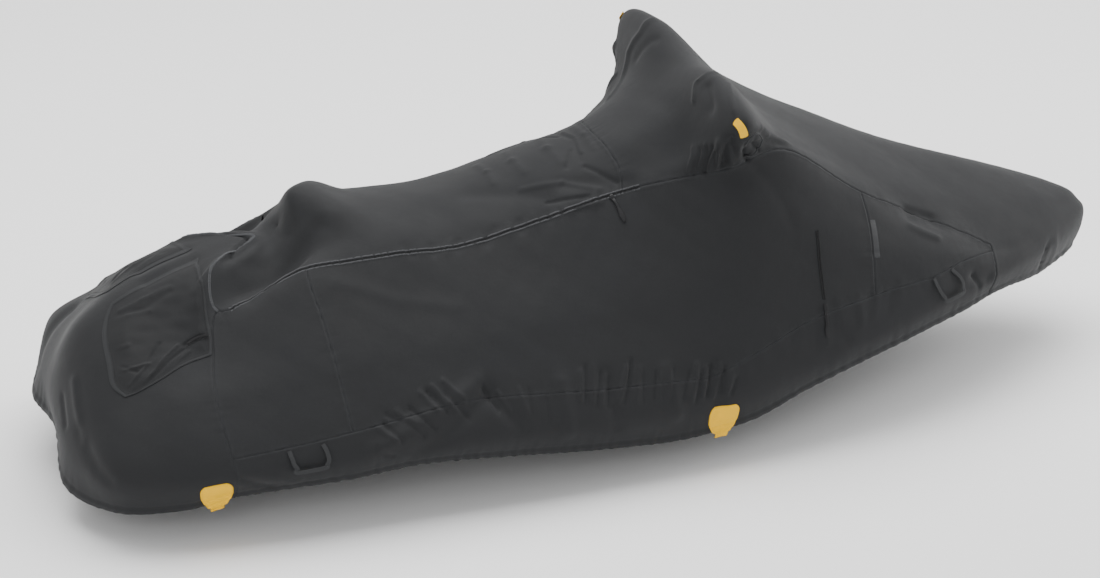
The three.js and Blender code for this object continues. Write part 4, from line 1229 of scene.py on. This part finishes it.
def stitch_line(turns, heights, offset, lift):
    """A stitch line beside a track on the cloth, that far to its left, and its outward directions."""
    at = arc(form(turns, heights))
    count = max(2, int(at[-1] / TRACK_SPACING))
    places = np.linspace(TRACK_SPACING, at[-1] - TRACK_SPACING, count)
    turns, heights = np.interp(places, at, turns), np.interp(places, at, heights)
    side = unit(np.cross(form_normal(turns, heights), np.gradient(form(turns, heights), axis=0)))
    turns, heights = beside(turns, heights, side * offset)
    points, normal = cloth(turns, np.clip(heights, 0, 2 * CENTRE))
    return points + normal * lift, normal


# ---- sizes and colours ----
def size_of(name, default, about, low=0.0):
    return FloatProperty(name=name, default=default, min=low, description=about,
                         subtype="DISTANCE", unit="LENGTH", precision=5)


def power_of(name, default, about):
    return FloatProperty(name=name, default=default, min=0.0, description=about, unit="POWER")


def colour_of(name, default, about):
    return FloatVectorProperty(name=name, default=default, description=about, size=3,
                               min=0.0, max=1.0, subtype="COLOR")


class CoverCloth(bpy.types.PropertyGroup):
    """The cover cloth."""

    spacing: size_of("Spacing", 0.0088, "How far apart the points of the cloth are", 0.003)
    thickness: size_of("Thickness", 0.0015, "Thickness of the cloth")
    weave: size_of("Weave", 0.0012, "Distance from thread to thread", 0.0003)
    dark: colour_of("Dark", (0.0132, 0.0138, 0.015), "Darker colour of the cloth")
    light: colour_of("Light", (0.0168, 0.0175, 0.019), "Lighter colour of the cloth")


class CoverSeams(bpy.types.PropertyGroup):
    """Seams between the panels."""

    groove: size_of("Groove", 0.0028, "How deep the cloth dips at a seam")
    groove_width: size_of("Groove width", 0.002, "Half the width of that dip")
    welt: size_of("Welt", 0.0007, "How high the folded seam allowance stands")
    stitch_offset: size_of("Stitch offset", 0.0065, "From the seam to its stitches")
    pitch: size_of("Stitch pitch", 0.0068, "From one stitch to the next", 0.002)
    stitch: size_of("Stitch length", 0.0046, "Length of a stitch")
    thread: size_of("Thread", 0.0011, "Thickness of the thread")
    pucker: size_of("Pucker", 0.0007, "How high the cloth puckers along a seam")
    pucker_reach: size_of("Pucker reach", 0.022, "How far from the seam the puckers reach")
    slack: size_of("Slack", 0.0014, "How high the broad waves of the cloth are")
    seed: IntProperty(name="Seed", default=5, min=0, description="Seed of the uneven stitches")


class CoverHem(bpy.types.PropertyGroup):
    """The gathered hem with its elastic."""

    casing: size_of("Casing", 0.024, "Width of the elastic's casing")
    roll: size_of("Roll", 0.0022, "How high the casing stands")
    gather: size_of("Gather", 0.0011, "How high the gathers of the hem are")
    gather_reach: size_of("Gather reach", 0.055, "How far the gathers reach up the cloth")


class CoverGathers(bpy.types.PropertyGroup):
    """The two gathered panels."""

    steps: IntProperty(name="Steps", default=90, min=20, description="Columns and rows of cloth")
    lift: size_of("Lift", 0.0018, "Height of the sewn edge over the cloth below")
    puff: size_of("Puff", 0.004, "How far the middle stands proud")
    border: size_of("Border", 0.015, "Width of the double border")
    ridge: size_of("Ridge", 0.001, "Height of the two cords in the border")
    thickness: size_of("Thickness", 0.0014, "Thickness of the cloth")


class CoverTrim(bpy.types.PropertyGroup):
    """Piping, tabs, tapes and cords."""

    cord: size_of("Cord", 0.005, "Diameter of the drawcord", 0.002)
    tab_rim: size_of("Tab rim", 0.0016, "How high the rim of a hem tab stands")
    tooth: size_of("Tooth pitch", 0.0034, "From one zip tooth to the next", 0.001)
    piping: colour_of("Piping", (0.07, 0.0725, 0.077), "Colour of the rear piping")
    # Painted highlight on the zip tape's raised corded edges.
    zip_edge_painted_highlight: colour_of("Zip edge", (0.052, 0.0535, 0.057), "Colour of the zip's corded edge")
    # Painted highlight on the gathered panel's raised border.
    gather_edge_painted_highlight: colour_of("Gather edge", (0.022, 0.023, 0.0245), "Colour of the panel border")
    webbing: colour_of("Webbing", (0.03, 0.031, 0.033), "Colour of the loops")
    yellow: colour_of("Yellow", (0.82, 0.46, 0.0), "Colour of the tabs and tags")


class CoverStudio(bpy.types.PropertyGroup):
    """Floor, light and camera."""

    distance: size_of("Distance", 16.0, "From the camera to the middle of the cover")
    lens: FloatProperty(name="Lens", default=172.8, description="Focal length of the camera in mm",
                        subtype="DISTANCE_CAMERA")
    drop: size_of("Drop", 0.1, "From the lowest hem to the floor")
    floor: colour_of("Floor", (0.97, 0.97, 0.97), "Colour of the floor")
    overhead: power_of("Overhead", 620.0, "Power of the overhead light")
    bow: power_of("Bow", 260.0, "Power of the light before the bow")
    front: power_of("Front", 170.0, "Power of the light by the camera")


GROUPS = {"cover_cloth": CoverCloth, "cover_seams": CoverSeams, "cover_hem": CoverHem,
          "cover_gathers": CoverGathers, "cover_trim": CoverTrim, "cover_studio": CoverStudio}


# ---- operators, one for each piece or group of like pieces ----
class COVER_OT_finishes(bpy.types.Operator):
    """Mix the cloth, tape, thread, rubber and zip finishes"""

    bl_idname = "cover.finishes"
    bl_label = "Mix finishes"

    def execute(self, context):
        mix_finishes()
        return {"FINISHED"}


class COVER_OT_middle_panels(bpy.types.Operator):
    """Sew the stern, seat and hood panels, which lie on both sides"""

    bl_idname = "cover.middle_panels"
    bl_label = "Sew middle panels"

    def execute(self, context):
        for name in ("stern_panel", "seat_panel", "hood_panel"):
            sew_panel(name)
        return {"FINISHED"}


class COVER_OT_side_panels(bpy.types.Operator):
    """Sew the quarter, side and bow side panels and the skirts"""

    bl_idname = "cover.side_panels"
    bl_label = "Sew side panels"

    def execute(self, context):
        for side in SIDES.values():
            for name in SIDE_PANELS:
                sew_panel(name, side)
        return {"FINISHED"}


class COVER_OT_gathered_panels(bpy.types.Operator):
    """Sew the two gathered panels over the stern panel, with their short straps"""

    bl_idname = "cover.gathered_panels"
    bl_label = "Sew gathered panels"

    def execute(self, context):
        for name, side in SIDES.items():
            piece = gathered_panel(f"gathered_panel_{name}_cloth", side)
            fit(piece, "gathered_cloth", f"gathered_panel_{name}")
            sew_strip(f"gathered_panel_strap_{name}", "web", side, smooth_rows(GUSSET_STRAP, 40),
                      oval(5, 2.6), "Black strap", "black_strap", sink=1.5, rounded=0.003)
        return {"FINISHED"}


class COVER_OT_piping(bpy.types.Operator):
    """Lay the piping round the rear of the seat panel"""

    bl_idname = "cover.piping"
    bl_label = "Lay rear piping"

    def execute(self, context):
        turns = np.linspace(-PIPING["reach"], PIPING["reach"], 420)
        rows = even_rows(turns, top_seam(turns), PIPING["width"], LIFT)
        sew_strip("seat_piping", "welt", STARBOARD, rows, PIPING_SECTION, "Piping cloth", "piping")
        return {"FINISHED"}


class COVER_OT_seat_zips(bpy.types.Operator):
    """Lay the long zips beside the seat: corded tape, teeth and puller"""

    bl_idname = "cover.seat_zips"
    bl_label = "Lay seat zips"

    def execute(self, context):
        stations = np.linspace(*SEAT_ZIP["ends"], 380)
        sew_zip("seat_zip", SEAT_ZIP, stations, top_seam(stations), ZIP_SECTION, ZIP_PULL,
                oval(4, 3.4), sink=1.0, facts={"trim": ZIP_PAINTED_HIGHLIGHT})
        return {"FINISHED"}


class COVER_OT_vent_zips(bpy.types.Operator):
    """Lay the short vent zips and their pullers"""

    bl_idname = "cover.vent_zips"
    bl_label = "Lay vent zips"

    def execute(self, context):
        heights = np.linspace(*VENT_ZIP["ends"], 90)
        stations = np.full(90, VENT_ZIP["station"])
        sew_zip("vent_zip", VENT_ZIP, stations, heights, VENT_SECTION, VENT_PULL, oval(4, 3.2),
                rounded=0.003)
        return {"FINISHED"}


class COVER_OT_rear_pull(bpy.types.Operator):
    """Stand the short puller behind the seat's hump"""

    bl_idname = "cover.rear_pull"
    bl_label = "Stand rear puller"

    def execute(self, context):
        sew_strip("rear_pull", "tab", PORT, smooth_rows(REAR_PULL, 40), oval(4, 3.4), "Zip moulding",
                  "zip_pull", rounded=0.005)
        return {"FINISHED"}


class COVER_OT_reflective_strips(bpy.types.Operator):
    """Sew the reflective strips on the front seams"""

    bl_idname = "cover.reflective_strips"
    bl_label = "Sew reflective strips"

    def execute(self, context):
        strip = REFLECTIVE_STRIP
        heights = np.linspace(*strip["ends"], 80)
        rows = even_rows(strip["station"], heights, strip["width"], strip["lift"])
        for name, side in SIDES.items():
            sew_strip(f"reflective_strip_{name}", "tape", side, rows, oval(6, 1.4, 28),
                      "Reflective tape", "reflective_tape", rounded=0.002)
        return {"FINISHED"}


class COVER_OT_pod_trim(bpy.types.Operator):
    """Sew the small tag and the drawcord loop at each pod"""

    bl_idname = "cover.pod_trim"
    bl_label = "Sew pod tags and drawcords"

    def execute(self, context):
        diameter = context.scene.cover_trim.cord
        for name, side in SIDES.items():
            sew_strip(f"pod_tag_{name}", "rubber", side, smooth_rows(POD_TAG, 40), TAG_SECTION,
                      "Yellow rubber", "yellow_rubber", sink=1.5, rounded=0.004)
            point, across, up, _ = strip_frame(side, smooth_rows(DRAWCORD, 90))
            width = np.full(len(point), diameter)
            cord = ribbon(f"drawcord_{name}_cord", (point, across, up, width),
                          oval(2, diameter / MM, 14), "Webbing")
            fit(cord, "webbing", f"drawcord_{name}")
        return {"FINISHED"}


class COVER_OT_loops(bpy.types.Operator):
    """Sew the webbing loops near the hem"""

    bl_idname = "cover.loops"
    bl_label = "Sew webbing loops"

    def execute(self, context):
        for name, side in SIDES.items():
            for loop, table in (("rear_loop", REAR_LOOP), ("bow_loop", BOW_LOOP)):
                sew_strip(f"{loop}_{name}", "web", side, smooth_rows(table, 90), oval(5, 2.6),
                          "Webbing", "webbing")
        return {"FINISHED"}


class COVER_OT_hem_tabs(bpy.types.Operator):
    """Sew the moulded tabs on the hem"""

    bl_idname = "cover.hem_tabs"
    bl_label = "Sew hem tabs"

    def execute(self, context):
        for name, side in SIDES.items():
            for tab, station, top in TAB_PLACES:
                piece = hem_tab(f"{tab}_{name}_rubber", side, station, top)
                fit(piece, "yellow_rubber", f"{tab}_{name}")
        return {"FINISHED"}


class COVER_OT_stitches(bpy.types.Operator):
    """Stitch both sides of every seam"""

    bl_idname = "cover.stitches"
    bl_label = "Stitch the seams"

    def execute(self, context):
        look = context.scene.cover_seams
        size = (look.stitch, look.thread, look.thread)
        for name in ("starboard", "port", "middle"):
            lines = []
            for track, (turns, heights) in seam_tracks().items():
                if track.endswith(name) or (name == "middle" and track == "top_seam"):
                    for offset in (-look.stitch_offset, look.stitch_offset):
                        lines.append(stitch_line(turns, heights, offset, look.thread * 0.2))
            if name in SIDES:
                lines += gathered_stitches(SIDES[name])
            piece = set_along(f"stitches_{name}", lines, look.pitch, size, look.seed, "Thread")
            fit(piece, "cover_cloth")
        return {"FINISHED"}


class COVER_OT_studio(bpy.types.Operator):
    """Lay the pale floor, hang the soft lights and set the camera"""

    bl_idname = "cover.studio"
    bl_label = "Set the studio"

    def execute(self, context):
        studio = context.scene.cover_studio
        tree, shader = new_material("Pale floor")
        feed(tree, shader, {"Base Color": rgba(studio.floor), "Roughness": 0.9})
        level = CAD_BOX[0].z - studio.drop
        square = ((-1, -1), (1, -1), (1, 1), (-1, 1))
        corners = [(x * FLOOR_REACH, y * FLOOR_REACH, level) for x, y in square]
        new_piece("floor", corners, [[0, 1, 2, 3]], finish="Pale floor")
        world = context.scene.world or bpy.data.worlds.new("Studio")
        context.scene.world = world
        world.use_nodes = True
        air = {"Color": (1.0, 1.0, 1.0, 1.0), "Strength": AIR}
        feed(world.node_tree, world.node_tree.nodes["Background"], air)
        aim = Vector(AIM)
        for label, place, size in LIGHTS:
            lamp = bpy.data.lights.new(label, "AREA")
            lamp.shape, lamp.size, lamp.size_y = "RECTANGLE", *size
            lamp.energy = getattr(studio, label.lower())
            light = new_object(label, lamp)
            light.location = place
            light.rotation_euler = (aim - Vector(place)).to_track_quat("-Z", "Y").to_euler()
        camera = new_object("Camera", bpy.data.cameras.new("Camera"))
        camera.data.lens, camera.data.sensor_width = studio.lens, SENSOR
        camera.data.clip_end = SIGHT
        back = Vector(BACK).normalized()
        camera.location = aim + back * studio.distance
        camera.rotation_euler = (-back).to_track_quat("-Z", "Y").to_euler()
        context.scene.camera = camera
        return {"FINISHED"}


OPERATORS = (COVER_OT_finishes, COVER_OT_middle_panels, COVER_OT_side_panels, COVER_OT_gathered_panels,
             COVER_OT_piping, COVER_OT_seat_zips, COVER_OT_vent_zips, COVER_OT_rear_pull,
             COVER_OT_reflective_strips, COVER_OT_pod_trim, COVER_OT_loops, COVER_OT_hem_tabs,
             COVER_OT_stitches, COVER_OT_studio)


class COVER_PT_sidebar(bpy.types.Panel):
    """The sizes and colours of the cover, and a button for each of its pieces"""

    bl_idname = "COVER_PT_sidebar"
    bl_label = "Personal watercraft cover"
    bl_space_type = "VIEW_3D"
    bl_region_type = "UI"
    bl_category = "Cover"

    def draw(self, context):
        for operator in OPERATORS:
            self.layout.operator(operator.bl_idname)
        for name, group in GROUPS.items():
            box = self.layout.box()
            box.label(text=group.__doc__)
            for field in group.__annotations__:
                box.prop(getattr(context.scene, name), field)


def register():
    for made in (*GROUPS.values(), *OPERATORS, COVER_PT_sidebar):
        bpy.utils.register_class(made)
    for name, group in GROUPS.items():
        setattr(bpy.types.Scene, name, PointerProperty(type=group))


def unregister():
    for name in GROUPS:
        delattr(bpy.types.Scene, name)
    for made in reversed((*GROUPS.values(), *OPERATORS, COVER_PT_sidebar)):
        bpy.utils.unregister_class(made)


CREASE_LINES = crease_lines()
SEAM_TRACKS = Tracks(seam_tracks().values())
HEM_TRACK = Tracks([(np.linspace(0, ROUND, 1400), np.zeros(1400))])


def main():
    register()
    for operator in OPERATORS:
        family, label = operator.bl_idname.split(".")
        getattr(getattr(bpy.ops, family), label)()


if __name__ == "__main__":
    main()
